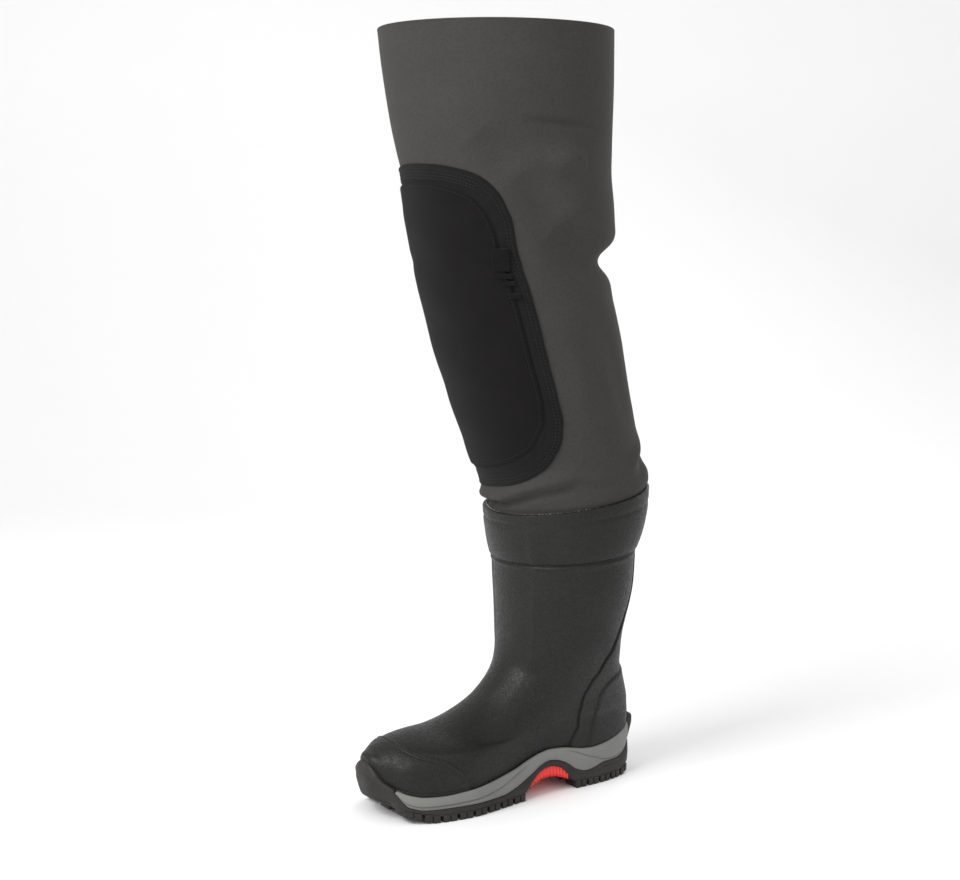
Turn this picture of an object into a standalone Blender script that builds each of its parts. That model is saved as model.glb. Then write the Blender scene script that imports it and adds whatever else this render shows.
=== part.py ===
"""Left boot of a neoprene chest wader with its leg, for Blender 4.5. Metres, +Z up.

+X points to the toe and +Y to the outer side of the foot. The origin is on the floor under the
heel. The boot is a hollow rubber wall on a cup sole, and the neoprene leg is lapped inside its
collar. Tables hold shares of the named sizes; ring() and leg_ring() turn them into surfaces.
"""
import math
from collections import namedtuple

import bmesh
import bpy
from mathutils import Vector

# Driving sizes
SOLE_LENGTH = 0.306
BALL_WIDTH = 0.118
WAIST_WIDTH = 0.083
HEEL_WIDTH = 0.078
SOLE_RISE = 0.045        # floor to the rim of the cup sole above the arch
HEEL_SET = 0.045         # origin to the back of the heel
BOOT_HEIGHT = 0.290      # floor to the middle of the collar's edge
COLLAR_WIDTH = 0.159
LEG_TOP = 0.742
LEG_REACH = 0.190        # how far the leg's middle line may stand forward of the heel's back
KNEE_WIDTH = 0.188

# Walls and clearances
GAP = 0.0003
SEAT = 0.00045           # clearance under the moulded overlays, whose facets differ a little
RIM_WALL = 0.0038
BUMPER_WALL = 0.0052
BOOT_WALL = 0.0040
LEG_WALL = 0.0040
CAP_THICK = 0.0014
STAY_THICK = 0.0012
COUNTER_THICK = 0.0014
PAD_THICK = 0.0020
POCKET_THICK = 0.0020
PAD_BORDER = 0.017
INSOLE_THICK = 0.0045
INSOLE_CLEAR = 0.0012
SPUR_DEPTH = 0.0085
SPUR_WIDTH = 0.030
LUG_PROUD = 0.0010
TEETH = 12
TOOTH_DEPTH = 0.0013
INSERT_LEAST = 0.0015    # least thickness of the arch insert
INSERT_INSET = 0.0004    # it stands back from the sole's outline
FLARE = 0.0016           # chamfer round the black sole's underside
TOE_FLARE = 0.0042       # the same under the toe bumper
TOE_CHANGE = (0.93, 0.985)
TOE_STEEPNESS = 2.5      # height of the toe's chamfer for its width

AROUND = 36              # points round the upper and the leg
SQUARENESS = 3.0         # of the sole's outline, where 2 is an ellipse

# Half widths of the foot. along is a share of SOLE_LENGTH, outer and inner of the named width
Plan = namedtuple("Plan", "along size outer inner")
PLAN = (
    Plan(0.00, HEEL_WIDTH, 0.53, 0.53),
    Plan(0.15, HEEL_WIDTH, 0.55, 0.55),
    Plan(0.30, WAIST_WIDTH, 0.500, 0.496),
    Plan(0.38, WAIST_WIDTH, 0.505, 0.498),
    Plan(0.49, WAIST_WIDTH, 0.55, 0.545),
    Plan(0.62, BALL_WIDTH, 0.462, 0.468),
    Plan(0.71, BALL_WIDTH, 0.508, 0.512),
    Plan(0.82, BALL_WIDTH, 0.516, 0.505),
    Plan(0.90, BALL_WIDTH, 0.500, 0.490),
    Plan(0.95, BALL_WIDTH, 0.445, 0.430),
    Plan(1.00, BALL_WIDTH, 0.350, 0.340),
)

# Side of the sole. along is a share of SOLE_LENGTH, the heights are shares of SOLE_RISE:
# tread is where the lugs end, slab the slab's underside, wall the top of the black side wall,
# shelf the black sole's top under the foam, bed the footbed and rim the cup's edge
Sole = namedtuple("Sole", "along tread slab wall shelf bed rim")
SOLE = (
    Sole(0.000, 0.20, 0.29, 0.76, 0.47, 0.82, 1.10),
    Sole(0.020, 0.13, 0.24, 0.68, 0.47, 0.815, 1.09),
    Sole(0.040, 0.07, 0.19, 0.58, 0.465, 0.81, 1.06),
    Sole(0.065, 0.00, 0.15, 0.49, 0.46, 0.805, 1.01),
    Sole(0.092, 0.00, 0.13, 0.455, 0.455, 0.80, 0.96),
    Sole(0.150, 0.00, 0.13, 0.455, 0.455, 0.79, 0.89),
    Sole(0.196, 0.00, 0.13, 0.38, 0.38, 0.785, 0.86),
    Sole(0.230, 0.00, 0.13, 0.35, 0.35, 0.785, 0.87),
    Sole(0.274, 0.00, 0.16, 0.44, 0.44, 0.80, 0.92),
    Sole(0.294, 0.00, 0.25, 0.54, 0.54, 0.812, 0.95),
    Sole(0.314, 0.00, 0.42, 0.63, 0.63, 0.826, 0.975),
    Sole(0.343, 0.00, 0.575, 0.715, 0.715, 0.840, 1.00),
    Sole(0.379, 0.00, 0.635, 0.76, 0.76, 0.846, 1.01),
    Sole(0.418, 0.00, 0.575, 0.69, 0.69, 0.828, 0.975),
    Sole(0.451, 0.00, 0.40, 0.57, 0.57, 0.796, 0.92),
    Sole(0.471, 0.00, 0.25, 0.50, 0.50, 0.772, 0.88),
    Sole(0.490, 0.00, 0.14, 0.44, 0.44, 0.74, 0.84),
    Sole(0.523, 0.00, 0.12, 0.35, 0.35, 0.67, 0.77),
    Sole(0.582, 0.00, 0.12, 0.27, 0.27, 0.59, 0.70),
    Sole(0.650, 0.00, 0.12, 0.265, 0.265, 0.51, 0.63),
    Sole(0.732, 0.00, 0.12, 0.275, 0.275, 0.455, 0.58),
    Sole(0.807, 0.00, 0.12, 0.28, 0.28, 0.445, 0.55),
    Sole(0.866, 0.07, 0.19, 0.285, 0.285, 0.465, 0.56),
    Sole(0.912, 0.16, 0.25, 0.33, 0.33, 0.495, 0.62),
    Sole(0.928, 0.19, 0.275, 0.385, 0.35, 0.50, 0.66),
    Sole(0.941, 0.22, 0.295, 0.44, 0.36, 0.505, 0.70),
    Sole(0.947, 0.235, 0.305, 0.475, 0.368, 0.507, 0.71),
    Sole(0.9494, 0.24, 0.31, 0.72, 0.37, 0.508, 0.72),
    Sole(0.958, 0.26, 0.325, 0.86, 0.38, 0.51, 0.86),
    Sole(0.975, 0.30, 0.36, 1.02, 0.42, 0.515, 1.02),
    Sole(0.990, 0.34, 0.39, 1.15, 0.44, 0.518, 1.15),
    Sole(1.000, 0.36, 0.41, 1.20, 0.45, 0.52, 1.20),
)
NOSE = 0.9457            # share of SOLE_LENGTH where the foam's side ends at the bumper
NOSE_STEP = 0.0012       # share of SOLE_LENGTH over which the foam narrows there to its core
CORE_ROWS = (0.0, 0.05, 0.10, 0.15, 0.20, 1.0)   # heights on the core's side, from bed to floor
NOSE_ROWS = (0.941, 0.947, 0.9494)
STATION_GAP = 0.006      # least distance of the arch's own stations from the shared ones
ARCH_SPAN = (0.28, 0.53)
INSERT_SPAN = (0.308, 0.462)
INSERT_UNDER = (0.245, 0.135)   # height of its ends' underside and its rise to the middle, of SOLE_RISE
WALL_CHANGE = (0.925, 0.955)

# Rings of the upper from the sole to the collar. front and back are shares of SOLE_LENGTH,
# measured in from the upper's toe and heel at the sole; front_up and back_up are shares of
# BOOT_HEIGHT; width is the half width of the shaft as a share of COLLAR_WIDTH, and shaft is
# how much of it rules; sag lowers the sides of the vamp, as a share of BOOT_HEIGHT
Ring = namedtuple("Ring", "front front_up back back_up width shaft square sag")
RINGS = (
    Ring(0.000, 0.170, 0.000, 0.169, 0.30, 0.00, 3.00, 0.000),
    Ring(0.001, 0.188, 0.000, 0.183, 0.30, 0.00, 3.00, 0.002),
    Ring(0.008, 0.208, -0.001, 0.197, 0.30, 0.00, 2.98, 0.008),
    Ring(0.026, 0.228, -0.002, 0.209, 0.30, 0.02, 2.94, 0.018),
    Ring(0.052, 0.244, -0.002, 0.221, 0.30, 0.05, 2.86, 0.028),
    Ring(0.099, 0.2585, -0.002, 0.232, 0.30, 0.10, 2.78, 0.036),
    Ring(0.156, 0.2655, -0.001, 0.243, 0.30, 0.15, 2.70, 0.041),
    Ring(0.221, 0.2700, 0.000, 0.255, 0.30, 0.22, 2.62, 0.043),
    Ring(0.283, 0.2830, 0.001, 0.268, 0.305, 0.30, 2.54, 0.041),
    Ring(0.345, 0.308, 0.004, 0.284, 0.308, 0.40, 2.46, 0.038),
    Ring(0.401, 0.339, 0.011, 0.305, 0.316, 0.50, 2.40, 0.034),
    Ring(0.447, 0.377, 0.020, 0.330, 0.328, 0.62, 2.34, 0.029),
    Ring(0.483, 0.413, 0.031, 0.358, 0.342, 0.74, 2.28, 0.022),
    Ring(0.506, 0.448, 0.042, 0.392, 0.358, 0.86, 2.22, 0.015),
    Ring(0.515, 0.486, 0.049, 0.430, 0.376, 0.95, 2.16, 0.008),
    Ring(0.520, 0.527, 0.050, 0.474, 0.392, 1.00, 2.12, 0.003),
    Ring(0.520, 0.572, 0.045, 0.524, 0.406, 1.00, 2.08, 0.000),
    Ring(0.519, 0.620, 0.033, 0.578, 0.420, 1.00, 2.06, 0.000),
    Ring(0.517, 0.676, 0.017, 0.640, 0.436, 1.00, 2.04, 0.000),
    Ring(0.515, 0.724, 0.006, 0.706, 0.450, 1.00, 2.03, 0.000),
    Ring(0.512, 0.790, -0.002, 0.826, 0.460, 1.00, 2.02, 0.000),
    Ring(0.508, 0.795, -0.008, 0.831, 0.469, 1.00, 2.02, 0.000),
    Ring(0.498, 0.826, -0.024, 0.862, 0.484, 1.00, 2.00, 0.000),
    Ring(0.487, 0.880, -0.045, 0.925, 0.494, 1.00, 2.00, 0.000),
    Ring(0.480, 0.930, -0.056, 0.990, 0.500, 1.00, 2.00, 0.000),
    Ring(0.478, 0.962, -0.058, 1.038, 0.500, 1.00, 2.00, 0.000),
)
SHELL_RINGS = (0, 1, 2, 3, 4, 5, 6, 8, 10, 11, 12, 13, 14, 15, 16, 18, 20, 21, 22, 23, 24, 25)
LINER_RINGS = (-1, 0, 2, 5, 8, 10, 12, 14, 16, 22, 23, 24, 25)
WAVE_FADE = 7.0          # rings over which the cup's wavy line dies out
SAG_PEAK = 0.4219        # largest value of the sag's weight round the ring
COLLAR_RING = 25.0

# The leg above the collar. up is a share of the height from the collar to the top, middle of
# LEG_REACH from the heel's back, radius and side of KNEE_WIDTH, tilt of the collar's slope
Leg = namedtuple("Leg", "up middle radius side tilt")
LEG = (
    Leg(0.004, 0.366, 0.421, 0.409, 1.00),
    Leg(0.016, 0.366, 0.437, 0.418, 1.00),
    Leg(0.034, 0.372, 0.440, 0.420, 0.95),
    Leg(0.062, 0.398, 0.434, 0.418, 0.70),
    Leg(0.100, 0.432, 0.444, 0.426, 0.35),
    Leg(0.145, 0.461, 0.456, 0.436, 0.10),
    Leg(0.190, 0.489, 0.464, 0.446, 0.00),
    Leg(0.224, 0.512, 0.470, 0.452, 0.00),
    Leg(0.257, 0.532, 0.476, 0.457, 0.00),
    Leg(0.298, 0.556, 0.484, 0.464, 0.00),
    Leg(0.354, 0.586, 0.492, 0.470, 0.00),
    Leg(0.409, 0.616, 0.492, 0.472, 0.00),
    Leg(0.464, 0.652, 0.488, 0.472, 0.00),
    Leg(0.506, 0.672, 0.482, 0.474, 0.00),
    Leg(0.540, 0.666, 0.508, 0.484, 0.00),
    Leg(0.580, 0.652, 0.534, 0.504, 0.00),
    Leg(0.630, 0.660, 0.540, 0.514, 0.00),
    Leg(0.686, 0.674, 0.542, 0.520, 0.00),
    Leg(0.742, 0.688, 0.558, 0.534, 0.00),
    Leg(0.797, 0.698, 0.574, 0.548, 0.00),
    Leg(0.870, 0.706, 0.592, 0.562, 0.00),
    Leg(0.940, 0.714, 0.604, 0.574, 0.00),
    Leg(1.000, 0.719, 0.612, 0.580, 0.00),
)
LEG_LEAN = 0.19          # of the middle line to the inner side, as a share of KNEE_WIDTH

# Soft hollows in the leg. up and tall are shares of the leg's height above the collar,
# turn and wide are degrees round it, deep is a share of KNEE_WIDTH
Hollow = namedtuple("Hollow", "up turn tall wide deep")
HOLLOWS = (
    Hollow(0.015, -10.0, 0.012, 70.0, 0.012),
    Hollow(0.760, 78.0, 0.080, 26.0, 0.030),
    Hollow(0.560, 104.0, 0.050, 22.0, 0.024),
    Hollow(0.515, 160.0, 0.022, 46.0, 0.020),
)

# Sides of the knee pad. up is a share of the leg's height above the collar, inner and outer
# are degrees round the leg from its front
Pad = namedtuple("Pad", "up inner outer")
PAD = (
    Pad(0.100, -75.0, 66.0),
    Pad(0.145, -75.0, 67.0),
    Pad(0.190, -74.0, 68.0),
    Pad(0.224, -69.0, 68.0),
    Pad(0.257, -60.0, 68.0),
    Pad(0.298, -51.5, 67.5),
    Pad(0.354, -47.0, 67.0),
    Pad(0.409, -46.0, 66.5),
    Pad(0.464, -47.0, 66.0),
    Pad(0.506, -49.5, 63.8),
    Pad(0.540, -51.5, 61.5),
    Pad(0.580, -53.0, 58.8),
    Pad(0.630, -53.5, 57.5),
)

# Ends of the knee pad: how low and how high it reaches at each angle
End = namedtuple("End", "turn low high")
ENDS = (
    End(-75.0, 0.140, 0.600),
    End(-71.5, 0.086, 0.600),
    End(-67.0, 0.060, 0.600),
    End(-59.0, 0.041, 0.600),
    End(-53.5, 0.034, 0.610),
    End(-48.0, 0.031, 0.674),
    End(-40.0, 0.029, 0.700),
    End(-24.0, 0.028, 0.713),
    End(0.0, 0.033, 0.717),
    End(18.0, 0.045, 0.714),
    End(33.0, 0.061, 0.704),
    End(42.0, 0.075, 0.692),
    End(49.0, 0.090, 0.672),
    End(54.0, 0.102, 0.645),
    End(57.5, 0.114, 0.610),
    End(64.0, 0.143, 0.590),
    End(68.0, 0.190, 0.570),
)

# Overlays of the boot: half their reach round the toe or the heel at each ring, in degrees
Reach = namedtuple("Reach", "ring turn")
CAP = (Reach(0.3, 66.0), Reach(1.0, 64.5), Reach(2.0, 62.0), Reach(3.0, 57.5), Reach(4.0, 48.5),
       Reach(4.4, 38.0), Reach(4.6, 14.0))
STAY = (Reach(0.3, 65.5), Reach(5.0, 65.5), Reach(8.0, 73.0), Reach(10.0, 80.0),
        Reach(11.0, 81.0), Reach(12.0, 78.0), Reach(13.0, 73.0), Reach(14.0, 66.0),
        Reach(15.0, 57.0), Reach(16.0, 49.0), Reach(18.0, 38.0), Reach(19.9, 33.0))
COUNTER = (Reach(0.4, 58.0), Reach(3.0, 58.0), Reach(6.0, 61.0), Reach(8.0, 65.0), Reach(10.0, 68.0),
           Reach(11.0, 65.5), Reach(12.0, 60.0), Reach(13.0, 48.5), Reach(13.6, 38.0), Reach(14.2, 20.0))


def smooth(xs, ys, at):
    """Monotone cubic through the points of a table."""
    if at <= xs[0]:
        return ys[0]
    if at >= xs[-1]:
        return ys[-1]
    slopes = [(ys[i + 1] - ys[i]) / (xs[i + 1] - xs[i]) for i in range(len(xs) - 1)]
    i = next(k for k in range(len(slopes)) if at <= xs[k + 1])

    def tangent(k):
        if k == 0:
            return slopes[0]
        if k == len(slopes):
            return slopes[-1]
        before, after = slopes[k - 1], slopes[k]
        return 0.0 if before * after <= 0 else 2 * before * after / (before + after)

    step = xs[i + 1] - xs[i]
    t = (at - xs[i]) / step
    near, far = tangent(i) * step, tangent(i + 1) * step
    return (ys[i] * (2 * t**3 - 3 * t**2 + 1) + near * (t**3 - 2 * t**2 + t)
            + ys[i + 1] * (3 * t**2 - 2 * t**3) + far * (t**3 - t**2))


def read(table, column, at, along="along"):
    """A column of a table at a place along it."""
    return smooth([getattr(row, along) for row in table], [getattr(row, column) for row in table], at)


def blend(low, high, t):
    return low + (high - low) * t


def ease(low, high, at):
    t = min(1.0, max(0.0, (at - low) / (high - low)))
    return t * t * (3 - 2 * t)


def body(along, turn):
    """Half width of the foot on the side that the angle faces."""
    column = "outer" if math.sin(turn) >= 0 else "inner"
    widths = [row.size * getattr(row, column) for row in PLAN]
    return smooth([row.along for row in PLAN], widths, along)


def reach(turn, square):
    """Radius of a squared circle at an angle."""
    c, s = abs(math.cos(turn)), abs(math.sin(turn))
    return (c**square + s**square) ** (-1.0 / square)


def height(column, x):
    """A height of the sole's side at a place x from the heel's back."""
    return SOLE_RISE * read(SOLE, column, x / SOLE_LENGTH)


def facet(column, x, inset):
    """The same height on the flat facets of a loop drawn in from the outline by an inset."""
    half = SOLE_LENGTH / 2
    spots = []
    for along in reversed([1.0] + sole_stations() + [0.0]):
        place = along * SOLE_LENGTH
        spots.append((half + (half - inset(place)) * (2 * along - 1), height(column, place)))
    x = min(max(x, spots[0][0]), spots[-1][0])
    near = next(i for i in range(1, len(spots)) if x <= spots[i][0])
    low, high = spots[near - 1], spots[near]
    return blend(low[1], high[1], (x - low[0]) / (high[0] - low[0]))


def sole_stations():
    """Places along the sole with a point on each side, from the toe: the upper's and the arch's."""
    shared = [0.5 + 0.5 * reach(turn, SQUARENESS) * math.cos(turn) for turn in turns()[1:AROUND // 2]]
    own = [row.along for row in SOLE if ARCH_SPAN[0] < row.along < ARCH_SPAN[1] or row.along in NOSE_ROWS]
    kept = [along for along in own
            if along in NOSE_ROWS or all(abs(along - other) > STATION_GAP for other in shared)]
    return sorted(shared + kept, reverse=True)


def edge_wall(x):
    """Thickness of the cup's rim, or of the bumper in front of the toe."""
    return blend(RIM_WALL, BUMPER_WALL, ease(*WALL_CHANGE, x / SOLE_LENGTH))


def outline(turn, inset=0.0):
    """Point of the sole's outline, as x from the heel's back and y."""
    radius = reach(turn, SQUARENESS)
    half = SOLE_LENGTH / 2
    x = half + (half - inset) * radius * math.cos(turn)
    return x, (body(x / SOLE_LENGTH, turn) - inset) * radius * math.sin(turn)


def walled(turn, extra=0.0):
    """Outline inside the rim or bumper wall."""
    x, _ = outline(turn)
    return outline(turn, edge_wall(x) + extra)


def placed(x, y, z):
    return Vector((x - HEEL_SET, y, z))


def ring(u, turn):
    """Outer face of the upper: ring u of the table, or the wall inside the cup below ring 0."""
    row = {name: read_ring(name, max(u, 0.0)) for name in Ring._fields}
    along = 0.5 + 0.5 * reach(turn, row["square"]) * math.cos(turn)
    spot = (along + blend(row["back"], -row["front"], along)) * SOLE_LENGTH
    x = spot - (edge_wall(along * SOLE_LENGTH) + SEAT) * (2 * along - 1)
    foot = body(spot / SOLE_LENGTH, turn) - edge_wall(spot) - SEAT
    half = blend(foot, row["width"] * COLLAR_WIDTH, row["shaft"])
    y = half * reach(turn, row["square"]) * math.sin(turn)
    front_weight = math.sin(turn) ** 2 * (0.5 + 0.5 * math.cos(turn)) ** 2 / SAG_PEAK
    z = BOOT_HEIGHT * (blend(row["back_up"], row["front_up"], along) - row["sag"] * front_weight)
    if u < WAVE_FADE:
        level = BOOT_HEIGHT * blend(RINGS[0].back_up, RINGS[0].front_up, along)
        z += (height("rim", spot) - level) * (1 - max(u, 0.0) / WAVE_FADE) ** 2
    if u < 0:
        z = blend(height("rim", spot), height("bed", spot) + 2 * SEAT, -u)
    return placed(x, y, z)


def read_ring(column, u):
    return smooth(list(range(len(RINGS))), [getattr(row, column) for row in RINGS], u)


def raised(surface, u, turn, out):
    """Point of a surface moved out along its normal."""
    if out == 0.0:
        return surface(u, turn)
    du, da = 0.02, 0.004
    across = surface(u, turn + da) - surface(u, turn - da)
    upward = surface(u + du, turn) - surface(max(u - du, 0.0 if u >= 0 else u - du), turn)
    return surface(u, turn) + across.cross(upward).normalized() * out


def leg_height(up):
    return blend(BOOT_HEIGHT, LEG_TOP, up)


def leg_ring(up, turn):
    """Outer face of the leg at a share of its height above the collar."""
    row = {name: read(LEG, name, up, "up") for name in Leg._fields}
    swell = 0.0
    for hollow in HOLLOWS:
        off = (math.degrees(turn) - hollow.turn + 180.0) % 360.0 - 180.0
        far = ((up - hollow.up) / hollow.tall) ** 2 + (off / hollow.wide) ** 2
        swell -= hollow.deep * math.exp(-far)
    x = row["middle"] * LEG_REACH + (row["radius"] + swell) * KNEE_WIDTH * math.cos(turn)
    lean = -LEG_LEAN * KNEE_WIDTH * ease(-0.4, 1.3, up) + LEG_LEAN * KNEE_WIDTH * ease(-0.4, 1.3, 0.0)
    y = lean + (row["side"] + swell) * KNEE_WIDTH * math.sin(turn)
    slope = (RINGS[-1].front_up - RINGS[-1].back_up) * BOOT_HEIGHT / 2
    z = leg_height(up) + row["tilt"] * slope * math.cos(turn)
    return placed(x, y, z)


def finish(name, bm, look, angle=40.0):
    """Turn a bmesh into one named object with its own material."""
    bmesh.ops.remove_doubles(bm, verts=bm.verts, dist=0.000002)
    bmesh.ops.recalc_face_normals(bm, faces=bm.faces)
    mesh = bpy.data.meshes.new(name)
    bm.to_mesh(mesh)
    bm.free()
    mesh.shade_smooth()
    mesh.set_sharp_from_angle(angle=math.radians(angle))
    thing = bpy.data.objects.new(name, mesh)
    bpy.context.collection.objects.link(thing)
    thing.data.materials.append(material(name, *look))
    return thing


def material(name, colour, roughness):
    made = bpy.data.materials.new(name)
    made.use_nodes = True
    shader = made.node_tree.nodes["Principled BSDF"]
    shader.inputs["Base Color"].default_value = (*colour, 1.0)
    shader.inputs["Roughness"].default_value = roughness
    shader.inputs["Metallic"].default_value = 0.0
    return made


def strip(bm, low, high, closed=True):
    """Faces between two rows of vertices."""
    count = len(low)
    for i in range(count if closed else count - 1):
        j = (i + 1) % count
        bm.faces.new((low[i], low[j], high[j], high[i]))


def loops(bm, rows, closed=True):
    made = [[bm.verts.new(point) for point in row] for row in rows]
    for low, high in zip(made, made[1:]):
        strip(bm, low, high, closed)
    return made


def tube(name, outer, inner, look):
    """A hollow wall, open at both ends, between rows of rings."""
    bm = bmesh.new()
    outside = loops(bm, outer)
    inside = loops(bm, inner)
    strip(bm, outside[0], inside[0])
    strip(bm, outside[-1], inside[-1])
    return finish(name, bm, look)


def sheet(name, surface, levels, sides, ends, centre, low, thick, look):
    """A sheet of even thickness on the surface's own lattice, cut back to its sides and ends."""
    widest = [sides(u) for u in levels]
    first, last = min(pair[0] for pair in widest), max(pair[1] for pair in widest)
    lattice = sorted(math.remainder(turn - centre, 2 * math.pi) for turn in turns())
    lattice = [first] + [turn for turn in lattice if first < turn < last] + [last]
    rows = []
    for u, (near, far) in zip(levels, widest):
        row = [min(max(turn, near), far) for turn in lattice]
        rows.append([(min(max(u, ends(turn)[0]), ends(turn)[1]), centre + turn) for turn in row])
    bm = bmesh.new()
    under, over = (loops(bm, [[raised(surface, u, turn, out) for u, turn in row] for row in rows], False)
                   for out in (low, low + thick))
    for row in (0, -1):
        strip(bm, under[row], over[row], False)
        strip(bm, [line[row] for line in under], [line[row] for line in over], False)
    return finish(name, bm, look)


def turns(count=AROUND):
    return [2 * math.pi * i / count for i in range(count)]


def sole_turn(along):
    """Angle of the outer side's outline at a share of the length."""
    share = abs(2 * along - 1)
    return math.atan2((1 - share**SQUARENESS) ** (1 / SQUARENESS), 2 * along - 1)


def sole_turns():
    """Angles of the sole's outline at its stations, toe first, then round by the heel."""
    side = [sole_turn(along) for along in sole_stations()]
    return [0.0] + side + [math.pi] + [2 * math.pi - a for a in reversed(side)]


def ladder(bm, loop):
    """Close a loop that mirrors itself about its first vertex with strips across."""
    count = len(loop)
    bm.faces.new((loop[0], loop[1], loop[-1]))
    for i in range(1, count // 2 - 1):
        bm.faces.new((loop[i], loop[i + 1], loop[count - i - 1], loop[count - i]))
    middle = count // 2
    bm.faces.new((loop[middle - 1], loop[middle], loop[middle + 1]))


def lug(x_from, x_to, y_from, y_to):
    """Corners of one tread block: a flat foot, and sides that run up into the slab."""
    foot = min(height("tread", x_from), height("tread", x_to))
    top = min(height("slab", x_from), height("slab", x_to)) + LUG_ROOT * SOLE_RISE
    return [(x, y, z) for z in (foot, top) for x, y in
            ((x_from, y_from(x_from)), (x_to, y_from(x_to)), (x_to, y_to(x_to)), (x_from, y_to(x_from)))]


def side_of(x, outer, inset):
    """y of the sole's outline at x, on the outer (+1) or the inner (-1) side."""
    share = min(abs(2 * x / SOLE_LENGTH - 1), 0.995)
    cap = (1 - share**SQUARENESS) ** (1 / SQUARENESS)
    return outer * (body(x / SOLE_LENGTH, outer * math.pi / 2) * cap - inset)


# Tread blocks: first and last place as shares of SOLE_LENGTH, and how many stand there
Tread = namedtuple("Tread", "first last count")
TREADS = (Tread(0.030, 0.284, 5), Tread(0.486, 0.962, 9))
LUG_FILL = 0.76          # of each block's pitch that is rubber
LUG_REACH = 0.30         # of the ball's half width that a side block reaches inwards
MID_REACH = 0.15         # and that a middle block reaches to each side
MID_TRIM = 0.1           # of the pitch that it is shorter at each end
LUG_SLOT = 0.0015        # least gap between a side block and a middle one
LUG_ROOT = 0.04          # of SOLE_RISE that a block runs up into the slab


def tread_blocks():
    """Corners of the side blocks and of the middle ones between them."""
    blocks = []
    side, middle = LUG_REACH * BALL_WIDTH / 2, MID_REACH * BALL_WIDTH / 2
    for group in TREADS:
        pitch = (group.last - group.first) * SOLE_LENGTH / group.count
        for i in range(group.count):
            start = group.first * SOLE_LENGTH + i * pitch
            end = start + pitch * LUG_FILL
            for outer in (1, -1):
                blocks.append(lug(start, end, lambda x, s=outer: side_of(x, s, -LUG_PROUD),
                                  lambda x, s=outer: s * max(s * side_of(x, s, side), middle + LUG_SLOT)))
            trim = pitch * MID_TRIM
            blocks.append(lug(start + trim, end - trim, lambda x: middle, lambda x: -middle))
    return blocks


def toe_flare(x):
    return blend(FLARE, TOE_FLARE, ease(*TOE_CHANGE, x / SOLE_LENGTH))


def build_outsole(look):
    bm = bmesh.new()
    places = sole_turns()

    def row(column, spots):
        return [placed(*spot, height(column, outline(turn)[0])) for turn, spot in zip(places, spots)]

    flares = [toe_flare(outline(turn)[0]) for turn in places]
    foot = [outline(turn, flare) for turn, flare in zip(places, flares)]
    edge, inside = [outline(turn) for turn in places], [walled(turn) for turn in places]
    chamfer = [point + Vector((0, 0, FLARE + TOE_STEEPNESS * (flare - FLARE)))
               for point, flare in zip(row("slab", edge), flares)]
    rows = loops(bm, [row("slab", foot), chamfer, row("wall", edge), row("wall", inside),
                      row("shelf", inside)])
    ladder(bm, rows[0])
    ladder(bm, rows[-1])
    outsole = finish("outsole", bm, look)
    bm = bmesh.new()
    for corners in tread_blocks():
        block = [bm.verts.new(placed(*corner)) for corner in corners]
        bm.faces.new(block[3::-1])
        bm.faces.new(block[4:])
        strip(bm, block[:4], block[4:])
    bmesh.ops.recalc_face_normals(bm, faces=bm.faces)
    mesh = bpy.data.meshes.new("tread_blocks")
    bm.to_mesh(mesh)
    bm.free()
    blocks = bpy.data.objects.new("tread_blocks", mesh)
    blocks.hide_render = True
    blocks.display_type = "WIRE"
    bpy.context.collection.objects.link(blocks)
    join = outsole.modifiers.new("tread", "BOOLEAN")
    join.operation = "UNION"
    join.object = blocks


def midsole_section(turn, cored):
    """Bed, lip, rim, side, step and base of the foam; cored where the bumper is its side."""
    x, _ = outline(turn)
    edge, inside, core = outline(turn), walled(turn), walled(turn, GAP)
    bed = height("bed", x)
    floor = height("shelf", x) + GAP
    if cored:
        return [placed(*core, blend(bed, floor, share)) for share in CORE_ROWS]
    under = facet("wall", x, lambda x: 0.0) + GAP
    if abs(under - floor) < GAP:
        floor = under
    rim = height("rim", x)
    return [placed(*inside, bed), placed(*inside, rim), placed(*edge, rim), placed(*edge, under),
            placed(*core, under), placed(*core, floor)]


def build_midsole(look):
    """The foam's side ends in front at the bumper, with one section on each side of the end."""
    bm = bmesh.new()
    ahead = [along for along in sole_stations() if along > NOSE + 2 * NOSE_STEP]
    behind = [along for along in sole_stations() if along < NOSE]
    side = [(along, True) for along in ahead] + [(NOSE + NOSE_STEP, True), (NOSE, False)]
    side += [(along, False) for along in behind]
    sections = [midsole_section(0.0, True)]
    sections += [midsole_section(sole_turn(along), cored) for along, cored in side]
    sections += [midsole_section(math.pi, False)]
    sections += [midsole_section(-sole_turn(along), cored) for along, cored in reversed(side)]
    rows = loops(bm, [list(row) for row in zip(*sections)])
    ladder(bm, rows[0])
    ladder(bm, rows[-1])
    finish("midsole", bm, look)


def build_arch_insert(look):
    """Crescent across the sole, under the black band of the arch, with teeth along its edge."""
    bm = bmesh.new()
    lower, upper = [], []
    for i in range(2 * TEETH + 1):
        x = blend(*INSERT_SPAN, i / (2 * TEETH)) * SOLE_LENGTH
        arc = math.sin(math.pi * i / (2 * TEETH))
        top = facet("slab", x, lambda x: FLARE) - GAP
        bottom = SOLE_RISE * (INSERT_UNDER[0] + INSERT_UNDER[1] * arc) + TOOTH_DEPTH * (i % 2)
        bottom = min(bottom, top - INSERT_LEAST)
        lower.append([placed(x, side_of(x, s, INSERT_INSET), bottom) for s in (-1, 1)])
        upper.append([placed(x, side_of(x, s, INSERT_INSET), top) for s in (-1, 1)])
    under = loops(bm, lower, False)
    over = loops(bm, upper, False)
    strip(bm, under[0], over[0], False)
    strip(bm, under[-1], over[-1], False)
    for side in (0, 1):
        strip(bm, [row[side] for row in under], [row[side] for row in over], False)
    finish("arch_insert", bm, look)


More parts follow.
